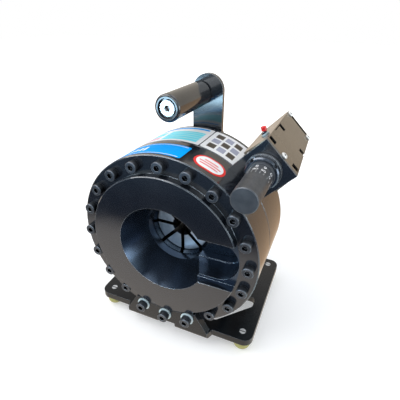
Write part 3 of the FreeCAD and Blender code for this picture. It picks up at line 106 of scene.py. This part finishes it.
# What polished faces see on the floor: the room's bands along Y, from afar to the machine
ROOM_DEPTH = 2.0
ROOM_BANDS = [
    (-1.80, (0.26, 0.34, 0.43)), (-1.48, (0.05, 0.07, 0.10)), (-1.28, (0.34, 0.44, 0.52)),
    (-1.14, (0.62, 0.88, 1.00)), (-1.02, (0.24, 0.32, 0.42)), (-0.92, (0.04, 0.07, 0.11)),
    (-0.80, (0.08, 0.18, 0.34)), (-0.62, (0.05, 0.08, 0.14)), (-0.52, (0.10, 0.15, 0.22)),
    (-0.43, (0.022, 0.032, 0.054)), (-0.345, (0.028, 0.034, 0.052)), (-0.30, (0.74, 0.69, 0.65)),
    (0.0, (0.92, 0.81, 0.69)),
]
ROOM_WAVER = 0.10

# Two patches over them: a colour, and along which axes it starts and where it is full
BENCH_BY_WINDOW = (0.80, 0.96, 1.00)
BENCH_BY_WINDOW_LIMITS = [("X", 0.10, 0.18), ("Y", -0.26, -0.16), ("Y", 0.06, 0.0)]
BENCH_BEHIND = (0.52, 0.36, 0.23)
BENCH_BEHIND_LIMITS = [("X", 0.03, 0.16), ("Y", 0.02, 0.08)]

# What they see above the floor: walls from the front to the back, a ceiling, and a window on the right
ROOM_WALLS = [
    (0.0, (0.62, 0.74, 0.84)), (0.25, (0.62, 0.74, 0.84)), (0.32, (0.26, 0.32, 0.40)),
    (0.45, (0.28, 0.31, 0.36)), (0.80, (0.52, 0.48, 0.42)),
]
ROOM_CEILING = [(0.66, (0.78, 0.72, 0.66)), (0.74, (0.06, 0.09, 0.13))]
ROOM_CEILING_LIMITS = [("Z", 0.52, 0.58), ("Y", -0.35, -0.25)]
ROOM_WINDOW = (0.84, 0.95, 1.00)
ROOM_WINDOW_LIMITS = [("X", 0.55, 0.65)]
EVEN_FILL = (0.46, 0.47, 0.49)

# Lamps: name, place, width and height, watts, colour
LAMPS = [
    ("key", (-0.85, -0.60, 1.30), (1.3, 1.3), 17.0, WHITE),
    ("sky", (0.25, 0.30, 1.50), (1.4, 1.4), 9.0, (0.97, 0.98, 1.0)),
    ("window", (1.30, -0.10, 0.10), (0.70, 0.55), 5.0, (0.80, 0.91, 1.0)),
    ("front", (0.10, -1.50, 0.70), (1.2, 0.5), 5.0, (0.93, 0.97, 1.0)),
    ("sill", (-0.42, -1.08, -0.07), (0.40, 0.10), 1.5, (0.50, 0.78, 1.0)),
]
LAMP_AIM = Vector((0.0, -0.05, 0.0))
FLOOR_HALF = 6.0

# Camera, solved from the photograph's ring of screws
CAMERA_PLACE = (0.15553, -0.37382, 0.22905)
CAMERA_RIGHT = (0.918655, 0.395042, 0.003930)
CAMERA_DOWN = (0.195312, -0.445500, -0.873718)
CAMERA_FORWARD = (-0.343404, 0.803413, -0.486417)
CAMERA_LENS = 29.35
CAMERA_SENSOR = 36.0
CAMERA_CLIP_START = 0.01


class Nodes:
    """A node tree, with helpers for the procedural detail that it feeds to its shader."""

    def __init__(self, tree, coordinates):
        self.tree = tree
        self.place = self.node("ShaderNodeTexCoord").outputs[coordinates]

    def node(self, kind, **settings):
        """A new node with its settings."""
        made = self.tree.nodes.new(kind)
        for key, value in settings.items():
            setattr(made, key, value)
        return made

    def feed(self, socket, value):
        """Link an output to a socket, or set the socket's own value."""
        if isinstance(value, bpy.types.NodeSocket):
            self.tree.links.new(value, socket)
        elif socket.type == "RGBA":
            socket.default_value = (*value, 1.0)
        else:
            socket.default_value = value

    def fed(self, kind, inputs, **settings):
        """The outputs of a new node, whose inputs get values or links by their names."""
        made = self.node(kind, **settings)
        for name, value in inputs.items():
            self.feed(made.inputs[name], value)
        return made.outputs

    def operation(self, kind, operation, values):
        """The outputs of a new arithmetic node, whose inputs are fed in order."""
        made = self.node(kind, operation=operation)
        for socket, value in zip(made.inputs, values):
            self.feed(socket, value)
        return made.outputs

    def math(self, operation, *values):
        """A number worked out from numbers."""
        return self.operation("ShaderNodeMath", operation, values)["Value"]

    def product(self, first, *others):
        """All factors multiplied."""
        for other in others:
            first = self.math("MULTIPLY", first, other)
        return first

    def above(self, value, limit):
        """1 where a value is above a limit, and 0 elsewhere."""
        return self.math("GREATER_THAN", value, limit)

    def below(self, value, limit):
        """1 where a value is below a limit, and 0 elsewhere."""
        return self.math("LESS_THAN", value, limit)

    def flipped(self, mask):
        """1 where a mask is 0, and 0 where it is 1."""
        return self.math("SUBTRACT", 1.0, mask)

    def length(self, vector):
        """How long a vector is."""
        return self.operation("ShaderNodeVectorMath", "LENGTH", [vector])["Value"]

    def axes(self, vector):
        """The three parts of a vector, by their letters."""
        return self.fed("ShaderNodeSeparateXYZ", {"Vector": vector})

    def off_axis(self):
        """Distance from the machine's axis."""
        flat = self.operation("ShaderNodeVectorMath", "MULTIPLY", [self.place, (1.0, 0.0, 1.0)])["Vector"]
        return self.length(flat)

    def remap(self, value, start, end, low=0.0, high=1.0, easing="LINEAR"):
        """Map the way from start to end onto low to high, held at both ends."""
        inputs = {"Value": value, "From Min": start, "From Max": end, "To Min": low, "To Max": high}
        return self.fed("ShaderNodeMapRange", inputs, interpolation_type=easing)["Result"]

    def span(self, noise, low, high):
        """Map a noise, most of which lies in its middle, onto low to high."""
        return self.remap(noise, *NOISE_MIDDLE, low, high)

    def step(self, value, start, end):
        """0 at start and 1 at end, with a soft rise between."""
        return self.remap(value, start, end, easing="SMOOTHSTEP")

    def within(self, at, limits, easing="SMOOTHSTEP"):
        """1 inside limits, each an axis with the places where the mask starts and is full, and 0 outside."""
        masks = [self.remap(at[axis], start, full, easing=easing) for axis, start, full in limits]
        return self.product(*masks)

    def ramp(self, factor, stops):
        """Colours at positions along a factor."""
        ramp = self.node("ShaderNodeValToRGB")
        self.feed(ramp.inputs["Fac"], factor)
        elements = ramp.color_ramp.elements
        while len(elements) < len(stops):
            elements.new(0.5)
        for element, (position, colour) in zip(elements, stops):
            element.position = position
            element.color = (*colour, 1.0)
        return ramp.outputs["Color"]

    def graded(self, value, low, high, stops):
        """Colours at positions along a value's way from low to high."""
        return self.ramp(self.remap(value, low, high), stops)

    def mix(self, factor, first, second):
        """The first colour at 0, the second at 1."""
        inputs = {"Factor": factor, "A": first, "B": second}
        return self.fed("ShaderNodeMix", inputs, data_type="RGBA")["Result"]

    def noise(self, scale, detail=3.0, stretch=None):
        """Noise of a scale, drawn out along the axes that stretch makes smaller."""
        place = self.place
        if stretch:
            place = self.fed("ShaderNodeMapping", {"Vector": place, "Scale": stretch})["Vector"]
        inputs = {"Vector": place, "Scale": scale, "Detail": detail}
        return self.fed("ShaderNodeTexNoise", inputs)["Fac"]

    def normal(self):
        """The surface's own normal."""
        return self.node("ShaderNodeNewGeometry").outputs["Normal"]

    def rounded(self, width):
        """The surface's normal with its edges rounded over a width."""
        return self.fed("ShaderNodeBevel", {"Radius": width}, samples=BEVEL_SAMPLES)["Normal"]

    def worn_edges(self, width):
        """1 on edges, where the rounded normal leaves the flat one, and 0 elsewhere, broken up a little: a
        mask of edge wear that is also a painted highlight.
        """
        together = self.operation("ShaderNodeVectorMath", "DOT_PRODUCT", [self.rounded(width), self.normal()])
        edge_wear_and_highlight = self.remap(together["Value"], *EDGE_WEAR_AND_HIGHLIGHT_COSINES)
        return self.product(edge_wear_and_highlight, self.span(self.noise(45.0), *EDGE_WEAR_AND_HIGHLIGHT_PATCHINESS))

    def shaded(self, colour, reach):
        """A colour with painted shade: it sinks to dark in sockets, slots and corners narrower than a reach.
        """
        openness = self.fed("ShaderNodeAmbientOcclusion", {"Distance": reach}, samples=PAINTED_SHADE_SAMPLES)["AO"]
        return self.mix(self.math("POWER", openness, PAINTED_SHADE_CONTRAST), PAINTED_SHADE_BLACK, colour)


class Look(Nodes):
    """A material, with its shader's sockets written with _ for a space."""

    def __init__(self, name, **sockets):
        self.material = bpy.data.materials.new(name)
        self.material.use_nodes = True
        super().__init__(self.material.node_tree, "Object")
        self.shader = self.tree.nodes["Principled BSDF"]
        self.put(**sockets)

    def put(self, **sockets):
        """Give sockets of the shader their values or links."""
        for name, value in sockets.items():
            self.feed(self.shader.inputs[name.replace("_", " ")], value)

    def surface(self, colour, roughness, height=None, bump=0.0, distance=0.0, edge=0.0):
        """Feed colour and roughness, and relief from a height, if any, over rounded edges."""
        self.put(Base_Color=colour, Roughness=roughness)
        if height is not None:
            relief = {"Height": height, "Strength": bump, "Distance": distance, "Normal": self.rounded(edge)}
            self.put(Normal=self.fed("ShaderNodeBump", relief)["Normal"])
        return self.material


def gloss_black(name="gloss_black", throat=False):
    """Deep gloss black with bare metal along the edges, worn and also a painted highlight; a throat and its
    slot are blued steel.
    """
    look = Look(name, IOR=1.6, Coat_Weight=1.0, Coat_Roughness=0.08)
    cloud = look.noise(28.0, 4.0)
    peel = look.noise(110.0, 1.0)
    # Edges get bare steel: wear and a painted highlight
    worn_and_highlit = look.worn_edges(0.0006)
    paint = look.ramp(cloud, [(0.3, (0.006, 0.008, 0.012)), (0.7, (0.010, 0.012, 0.017))])
    colour = look.mix(worn_and_highlit, paint, WORN_AND_HIGHLIT_STEEL)
    metallic = worn_and_highlit
    rough = look.span(cloud, 0.13, 0.21)
    if throat:
        behind_boss = look.above(look.axes(look.place)["Y"], BOSS_Y + FACE_MARGIN)
        oiled = look.product(look.below(look.off_axis(), THROAT_REACH), behind_boss)
        colour = look.mix(look.product(oiled, look.flipped(worn_and_highlit)), colour, (0.078, 0.106, 0.150))
        metallic = look.math("MAXIMUM", worn_and_highlit, look.product(oiled, 0.93))
        rough = look.math("ADD", rough, look.product(oiled, 0.04))
        look.put(Coat_Weight=look.flipped(oiled))
    look.put(Metallic=metallic)
    return look.surface(colour, rough, peel, 0.010, 0.00004, 0.0005)


def plate_black():
    """Satin powder coat, rubbed thin along the cut edges, where its lighter colour is also a painted
    highlight.
    """
    look = Look("plate_black", IOR=1.45, Coat_Weight=0.3, Coat_Roughness=0.12)
    cloud = look.noise(40.0, 5.0)
    grain = look.noise(1400.0, 2.0)
    colour = look.ramp(cloud, [(0.3, (0.002, 0.003, 0.005)), (0.7, (0.004, 0.006, 0.008))])
    colour = look.mix(look.worn_edges(0.0007), colour, (0.16, 0.19, 0.22))
    return look.surface(colour, look.span(cloud, 0.20, 0.30), grain, 0.06, 0.00005, 0.0007)


def metal(name, dark, light, rough, grain=(1.0, 1.0, 1.0), edge=0.0003, bump=0.08, metallic=1.0,
          shade_reach=0.0, rim_wear_and_highlight=None):
    """Bare or plated metal with faint clouding and a machining grain, with painted shade in hollows of a
    given width, and with a rim colour along its edges that is wear and a painted highlight."""
    look = Look(name, Metallic=metallic)
    cloud = look.noise(120.0, 3.0)
    lines = look.noise(600.0, 2.0, grain)
    colour = look.ramp(cloud, [(0.25, dark), (0.75, light)])
    # Painted shade darkens hollows narrower than the given reach
    if shade_reach:
        colour = look.shaded(colour, shade_reach)
    # The rim colour along the edges is wear and a painted highlight
    if rim_wear_and_highlight:
        colour = look.mix(look.worn_edges(0.0005), colour, rim_wear_and_highlight)
    return look.surface(colour, look.span(lines, *rough), lines, bump, 0.00005, edge)


def die_steel():
    """Ground front faces, with painted shade on the flanks and on the mouth round the axis."""
    look = Look("die_grey", Metallic=1.0)
    cloud = look.noise(120.0, 3.0)
    lines = look.noise(500.0, 2.0, (1.0, 0.1, 1.0))
    bright = look.ramp(cloud, [(0.25, (0.52, 0.55, 0.60)), (0.75, (0.72, 0.74, 0.77))])
    facing = look.above(look.math("ABSOLUTE", look.axes(look.normal())["Y"]), 0.4)
    beyond = look.step(look.off_axis(), DIE_MOUTH_SHADE_RADIUS - DIE_MOUTH_SHADE_BLUR, DIE_MOUTH_SHADE_RADIUS + DIE_MOUTH_SHADE_BLUR)
    # The flanks and the mouth get a near-black painted shade
    colour = look.mix(look.product(facing, beyond), (0.006, 0.007, 0.009), bright)
    return look.surface(colour, look.span(lines, 0.30, 0.46), lines, 0.08, 0.00005, 0.0003)


def moulded(name, dark, light, rough, bump=0.08, **sockets):
    """Plastic or elastomer with a slight mould grain."""
    look = Look(name, **sockets)
    cloud = look.noise(60.0, 3.0)
    grain = look.noise(700.0, 2.0)
    colour = look.ramp(cloud, [(0.3, dark), (0.7, light)])
    return look.surface(colour, look.span(cloud, *rough), grain, bump, 0.00006, 0.0004)


def housing_paint():
    """Bronze satin paint outside; the inside and the slots' edges get a dark, rough painted shade."""
    look = Look("housing_bronze")
    cloud = look.noise(18.0, 3.0)
    brushed = look.noise(260.0, 2.0, (1.0, 0.08, 1.0))
    bronze = look.ramp(cloud, [(0.3, (0.232, 0.182, 0.128)), (0.7, (0.272, 0.214, 0.152))])
    at = look.axes(look.place)
    out = look.product(look.math("ADD", at["X"], at["Z"]), math.cos(LEAN))
    across = look.product(look.math("SUBTRACT", at["X"], at["Z"]), math.cos(LEAN))
    taper = look.product(look.math("SUBTRACT", at["Y"], HOUSING_FRONT_Y), HOUSING_TAPER)
    # Painted shade: everything inside the box, slot walls included, is near black, rough and not metallic
    inside = look.product(look.below(out, HOUSING_INNER_OUT), look.above(across, -HOUSING_INNER_HALF),
                          look.below(look.math("ADD", across, taper), HOUSING_INNER_HALF))
    look.put(Metallic=look.product(look.flipped(inside), 0.5))
    rough = look.math("ADD", look.span(brushed, 0.17, 0.25), look.product(inside, 0.5))
    return look.surface(look.mix(inside, bronze, INSIDE_PAINTED_SHADE), rough, brushed, 0.012, 0.00003, 0.0004)


# Looks by material slot, and by node where one solid differs from its slot. After the name of a look come its
# dark and light colour and its range of roughness.
# A metal's hollow reach is how wide a hollow gets painted shade; its rim colour is edge wear and a painted
# highlight.
MATERIALS = {
    "gloss_black_metal": gloss_black(),
    "front_cover": gloss_black("gloss_black_throat", True),
    "tab_washers": metal("zinc_blue", (0.62, 0.80, 0.88), (0.80, 0.94, 0.98), (0.22, 0.36), metallic=0.45),
    "base_plate": plate_black(),
    "housing_screws": metal("zinc_white", (0.80, 0.80, 0.78), (0.92, 0.92, 0.90), (0.24, 0.40),
                            metallic=0.3, shade_reach=0.002),
    "toggle_base": metal("toggle_dark", (0.035, 0.045, 0.080), (0.090, 0.110, 0.160), (0.16, 0.28),
                         shade_reach=0.002, rim_wear_and_highlight=(0.62, 0.66, 0.72)),
    "foot_studs": metal("zinc_dull", (0.62, 0.63, 0.64), (0.74, 0.75, 0.76), (0.30, 0.45),
                        metallic=0.4, shade_reach=0.0025),
    "black_powder_coat": moulded("coat_black", (0.008, 0.009, 0.010), (0.014, 0.015, 0.016), (0.34, 0.46)),
    "black_screw_steel": metal("screw_black", (0.080, 0.088, 0.104), (0.130, 0.140, 0.158), (0.26, 0.38),
                               edge=0.0005, metallic=0.85, shade_reach=0.008, rim_wear_and_highlight=(0.50, 0.55, 0.61)),
    "zinc_steel": metal("zinc", (0.60, 0.72, 0.76), (0.76, 0.86, 0.88), (0.24, 0.40),
                        metallic=0.5, shade_reach=0.0025),
    "bright_steel": metal("bright", (0.66, 0.68, 0.70), (0.82, 0.83, 0.84), (0.16, 0.28), (1.0, 0.1, 1.0),
                          metallic=0.85, shade_reach=0.003),
    "dark_polished_steel": metal("nut_polished", (0.100, 0.112, 0.134), (0.160, 0.176, 0.205), (0.20, 0.30)),
    "die_steel": die_steel(),
    "shoe_steel": metal("shoe_dark", (0.030, 0.042, 0.058), (0.050, 0.066, 0.088), (0.20, 0.34)),
    "piston_steel": metal("piston_grey", (0.10, 0.12, 0.14), (0.16, 0.18, 0.21), (0.20, 0.34)),
    "seal_rubber": moulded("seal", (0.010, 0.010, 0.010), (0.018, 0.018, 0.018), (0.45, 0.6)),
    "foot_elastomer": moulded("foot_yellow", (0.30, 0.29, 0.08), (0.40, 0.38, 0.12), (0.14, 0.24),
                              Coat_Weight=0.3, Subsurface_Weight=0.15, Subsurface_Scale=0.002),
    "grip_plastic": moulded("grip_black", (0.010, 0.010, 0.011), (0.016, 0.015, 0.015), (0.10, 0.18),
                            bump=0.03, IOR=1.6, Coat_Weight=1.0, Coat_Roughness=0.08),
    "knob_metal": metal("knob_grey", (0.092, 0.098, 0.108), (0.146, 0.152, 0.164), (0.34, 0.50),
                        bump=0.2, metallic=0.8, rim_wear_and_highlight=(0.30, 0.31, 0.33)),
    "housing_metal": housing_paint(),
    "switch_plastic": moulded("switch_black", (0.012, 0.012, 0.013), (0.022, 0.022, 0.023), (0.35, 0.5)),
    "plunger_plastic": moulded("plunger_red", (0.36, 0.02, 0.02), (0.46, 0.03, 0.02), (0.25, 0.35)),
    "cap_plastic": moulded("cap_red", (0.66, 0.012, 0.014), (0.82, 0.022, 0.020), (0.22, 0.34), bump=0.04),
    "brass_insert": metal("brass", (0.52, 0.36, 0.14), (0.66, 0.47, 0.20), (0.20, 0.34)),
}


def dress_solids():
    """Give each solid its slot's look, or one of its own."""
    slots = {part["node"]: part["material_slot"] for part in frame["record"]["subparts"]}
    for name, piece in NODES.items():
        piece.data.materials.clear()
        piece.data.materials.append(MATERIALS[name if name in MATERIALS else slots[name]])


def mesh_piece(name, vertices, faces, material, body):
    """A new mesh that rides on a body."""
    mesh = bpy.data.meshes.new(name)
    mesh.from_pydata(vertices, [], faces)
    mesh.validate()
    piece = bpy.data.objects.new(name, mesh)
    bpy.context.scene.collection.objects.link(piece)
    mesh.materials.append(material)
    for face in mesh.polygons:
        face.use_smooth = True
    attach(piece, body)
    return piece


def film_look(name, marks, ground):
    """Printed film: a ground colour with rectangular marks, each (u0, u1, v0, v1, colour) in 0..1."""
    look = Look(name, IOR=1.2, Specular_IOR_Level=0.25)
    spot = look.axes(look.node("ShaderNodeUVMap").outputs["UV"])
    u, v = spot["X"], spot["Y"]
    colour = look.mix(look.noise(90.0), ground, [0.93 * part for part in ground])
    for u0, u1, v0, v1, mark in marks:
        inside = look.product(look.above(u, u0), look.below(u, u1), look.above(v, v0), look.below(v, v1))
        colour = look.mix(inside, colour, mark)
    return look.surface(colour, look.span(look.noise(200.0), 0.42, 0.52))


def corner_inset(distance, extent, corner):
    """How far a round-cornered outline steps in at a distance from one of its ends."""
    near = min(distance, extent - distance)
    if near >= corner:
        return 0.0
    return corner - math.sqrt(max(0.0, corner ** 2 - (corner - near) ** 2))


def wrapped_film(name, look, angles, depths, corner=FILM_CORNER, lift=FILM_LIFT):
    """Round-cornered film on the drum: angles from the top towards the right, depths along Y."""
    radius = DRUM_RADIUS + lift
    start, end = (math.radians(angle) * radius for angle in angles)
    front, rear = depths
    width, depth = end - start, rear - front
    turns = [math.radians(90 * step / FILM_CORNER_STEPS) for step in range(FILM_CORNER_STEPS + 1)]
    rounding = [corner * (1 - math.cos(turn)) for turn in turns]
    straight = [corner + (width - 2 * corner) * step / FILM_COLUMNS for step in range(1, FILM_COLUMNS)]
    columns = rounding + straight + [width - distance for distance in reversed(rounding)]
    vertices, uvs = [], []
    for distance in columns:
        inset = corner_inset(distance, width, corner)
        angle = (start + distance) / radius
        for row in range(FILM_ROWS + 1):
            y = front + inset + (depth - 2 * inset) * row / FILM_ROWS
            vertices.append((radius * math.sin(angle), y, radius * math.cos(angle)))
            uvs.append((distance / width, (y - front) / depth))
    stride = FILM_ROWS + 1
    faces = [(i * stride + j, (i + 1) * stride + j, (i + 1) * stride + j + 1, i * stride + j + 1)
             for i in range(len(columns) - 1) for j in range(FILM_ROWS)]
    piece = mesh_piece(name, vertices, faces, look, "machine")
    layer = piece.data.uv_layers.new(name="UVMap")
    for loop in piece.data.loops:
        layer.data[loop.index].uv = uvs[loop.vertex_index]


def labels():
    """Generic films on the drum: a blue band, a chart, a table and a red badge with a white field."""
    white = (0.90, 0.91, 0.92)
    sky, aqua, rose = (0.0, 0.36, 0.90), (0.18, 0.78, 0.90), (0.80, 0.45, 0.56)
    grey, slate, red = (0.10, 0.085, 0.07), (0.38, 0.40, 0.50), (0.80, 0.05, 0.045)

    band = [(0.03, 0.97, 0.06, 0.09, white), (0.03, 0.97, 0.91, 0.94, white)]
    band += [(0.30 + 0.05 * k, 0.33 + 0.05 * k, 0.30, 0.42 + 0.05 * k, white) for k in range(6)]
    wrapped_film("label_blue", film_look("film_blue", band, (0.0, 0.36, 0.96)), (-47, 10), (-0.107, -0.0755))

    chart = [(0.05, 0.95, 0.86, 0.95, sky), (0.55, 0.95, 0.10, 0.68, aqua), (0.05, 0.50, 0.40, 0.68, aqua)]
    chart += [(0.05, 0.50, 0.14, 0.34, rose)]
    chart += [(0.05, 0.95, 0.22 + 0.12 * k, 0.235 + 0.12 * k, white) for k in range(4)]
    wrapped_film("label_chart", film_look("film_chart", chart, white), (-47, 10.6), REAR_FILM_DEPTHS)

    table = [(0.12 + 0.27 * i, 0.33 + 0.27 * i, 0.12 + 0.28 * j, 0.33 + 0.28 * j, (grey, slate)[(i + j) % 2])
             for i in range(3) for j in range(3)]
    wrapped_film("label_table", film_look("film_table", table, white), (11.2, 34.5), REAR_FILM_DEPTHS)

    bars = [(0.16, 0.84, 0.26, 0.34, red), (0.10, 0.90, 0.46, 0.54, red), (0.24, 0.76, 0.66, 0.74, red)]
    wrapped_film("label_badge", film_look("film_red", [], red), (15.0, 33.8), (-0.1045, -0.0780), 0.0130)
    wrapped_film("label_badge_field", film_look("film_field", bars, white), (16.4, 32.4), (-0.1021, -0.0804),
                 0.0107, SECOND_FILM_LIFT)


def around_knob(distance, y):
    """Point on the knob's skin, a distance along its circumference from the outer side."""
    radius = KNOB_RADIUS + INK_LIFT
    angle = distance / radius
    across = radius * math.sin(angle)
    out = KNOB_AXIS_OUT + radius * math.cos(angle)
    return Vector((across * math.cos(LEAN) + out * math.sin(LEAN), y,
                   -across * math.sin(LEAN) + out * math.cos(LEAN)))


def text_mesh(text, height):
    """A centred text as a flat mesh."""
    curve = bpy.data.curves.new("digits", "FONT")
    curve.body = text
    curve.size = height * TEXT_SIZE_PER_HEIGHT
    curve.align_x = "CENTER"
    holder = bpy.data.objects.new("digits_holder", curve)
    mesh = bpy.data.meshes.new_from_object(holder)
    bpy.data.objects.remove(holder)
    return mesh


def knob_scale():
    """White numbers and strokes in rings near the knob's rear end."""
    look = Look("scale_white", IOR=1.5)
    ink = look.surface(look.ramp(look.noise(500.0), [(0.3, (0.80, 0.81, 0.82)), (0.7, (0.92, 0.92, 0.92))]),
                       look.span(look.noise(300.0), 0.4, 0.55))
    round_way = 2 * math.pi * KNOB_RADIUS
    for ring, (start_y, height, texts) in enumerate(SCALE_RINGS):
        for place, text in enumerate(texts):
            mesh = text_mesh(text, height)
            middle = round_way * (place + 0.5) / len(texts)
            vertices = [around_knob(middle + v.co.x, start_y + v.co.y) for v in mesh.vertices]
            faces = [tuple(f.vertices) for f in mesh.polygons]
            mesh_piece("scale_%d_%d" % (ring, place), vertices, faces, ink, "knob")


def floor_look():
    """Pale floor; polished faces see a warm bench near the machine and a dim room in front of it."""
    look = Look("floor_white", Roughness=0.9, Specular_IOR_Level=0.0, Emission_Color=WHITE)
    at = look.axes(look.place)
    ray = look.node("ShaderNodeLightPath").outputs
    glow = look.graded(look.length(look.place), *GLOW_DISTANCES, [(0.0, GLOW_NEAR), (1.0, WHITE)])
    look.put(Base_Color=look.ramp(look.noise(3.0), [(0.3, (0.80, 0.80, 0.80)), (0.7, (0.82, 0.82, 0.82))]),
             Emission_Strength=look.product(ray["Is Camera Ray"], glow))

    waver = look.product(look.math("SUBTRACT", look.noise(5.0, 2.0), 0.5), ROOM_WAVER)
    bands = [(1.0 + y / ROOM_DEPTH, colour) for y, colour in ROOM_BANDS]
    bench = look.graded(look.math("ADD", at["Y"], waver), -ROOM_DEPTH, 0.0, bands)
    bench = look.mix(look.within(at, BENCH_BY_WINDOW_LIMITS), bench, BENCH_BY_WINDOW)
    bench = look.mix(look.within(at, BENCH_BEHIND_LIMITS), bench, BENCH_BEHIND)
    mirrored = look.fed("ShaderNodeEmission", {"Color": bench})["Emission"]

    either = look.node("ShaderNodeMixShader")
    for socket, value in zip(either.inputs, (ray["Is Glossy Ray"], look.shader.outputs[0], mirrored)):
        look.feed(socket, value)
    look.feed(look.tree.nodes["Material Output"].inputs["Surface"], either.outputs[0])
    return look.material


def studio_world():
    """White to the camera, an even fill to matt faces, and the room to polished ones."""
    world = bpy.data.worlds.new("studio")
    bpy.context.scene.world = world
    world.use_nodes = True
    sky = Nodes(world.node_tree, "Generated")
    toward = sky.axes(sky.place)
    walls = sky.graded(toward["Y"], -1.0, 1.0, ROOM_WALLS)
    ceiling = sky.ramp(toward["Z"], ROOM_CEILING)
    colour = sky.mix(sky.within(toward, ROOM_CEILING_LIMITS, "LINEAR"), walls, ceiling)
    colour = sky.mix(sky.within(toward, ROOM_WINDOW_LIMITS, "LINEAR"), colour, ROOM_WINDOW)
    ray = sky.node("ShaderNodeLightPath").outputs
    colour = sky.mix(ray["Is Diffuse Ray"], colour, EVEN_FILL)
    colour = sky.mix(ray["Is Camera Ray"], colour, WHITE)
    sky.feed(sky.tree.nodes["Background"].inputs["Color"], colour)


def floor():
    """A pale floor under the feet."""
    mesh = bpy.data.meshes.new("floor")
    corners = [(-FLOOR_HALF, -FLOOR_HALF), (FLOOR_HALF, -FLOOR_HALF), (FLOOR_HALF, FLOOR_HALF),
               (-FLOOR_HALF, FLOOR_HALF)]
    mesh.from_pydata([(x, y, FLOOR_Z) for x, y in corners], [], [(0, 1, 2, 3)])
    holder = bpy.data.objects.new("floor", mesh)
    bpy.context.scene.collection.objects.link(holder)
    mesh.materials.append(floor_look())


def lamps():
    """Soft area lamps, all turned to the machine."""
    for name, place, size, watts, colour in LAMPS:
        lamp = bpy.data.lights.new(name, "AREA")
        lamp.shape = "RECTANGLE"
        lamp.size, lamp.size_y = size
        lamp.energy = watts
        lamp.color = colour
        holder = bpy.data.objects.new(name, lamp)
        holder.location = place
        holder.rotation_mode = "QUATERNION"
        holder.rotation_quaternion = (LAMP_AIM - Vector(place)).to_track_quat("-Z", "Y")
        bpy.context.scene.collection.objects.link(holder)


def camera():
    """The camera at the photograph's place and angle."""
    lens = bpy.data.cameras.new("camera")
    lens.lens = CAMERA_LENS
    lens.sensor_width = CAMERA_SENSOR
    lens.clip_start = CAMERA_CLIP_START
    holder = bpy.data.objects.new("camera", lens)
    bpy.context.scene.collection.objects.link(holder)
    right, down, forward = (Vector(v) for v in (CAMERA_RIGHT, CAMERA_DOWN, CAMERA_FORWARD))
    turn = Matrix((right, -down, -forward)).transposed().to_4x4()
    holder.matrix_world = Matrix.Translation(CAMERA_PLACE) @ turn
    bpy.context.scene.camera = holder


dress_solids()
labels()
knob_scale()
floor()
studio_world()
lamps()
camera()
bpy.context.scene.view_settings.view_transform = "Standard"
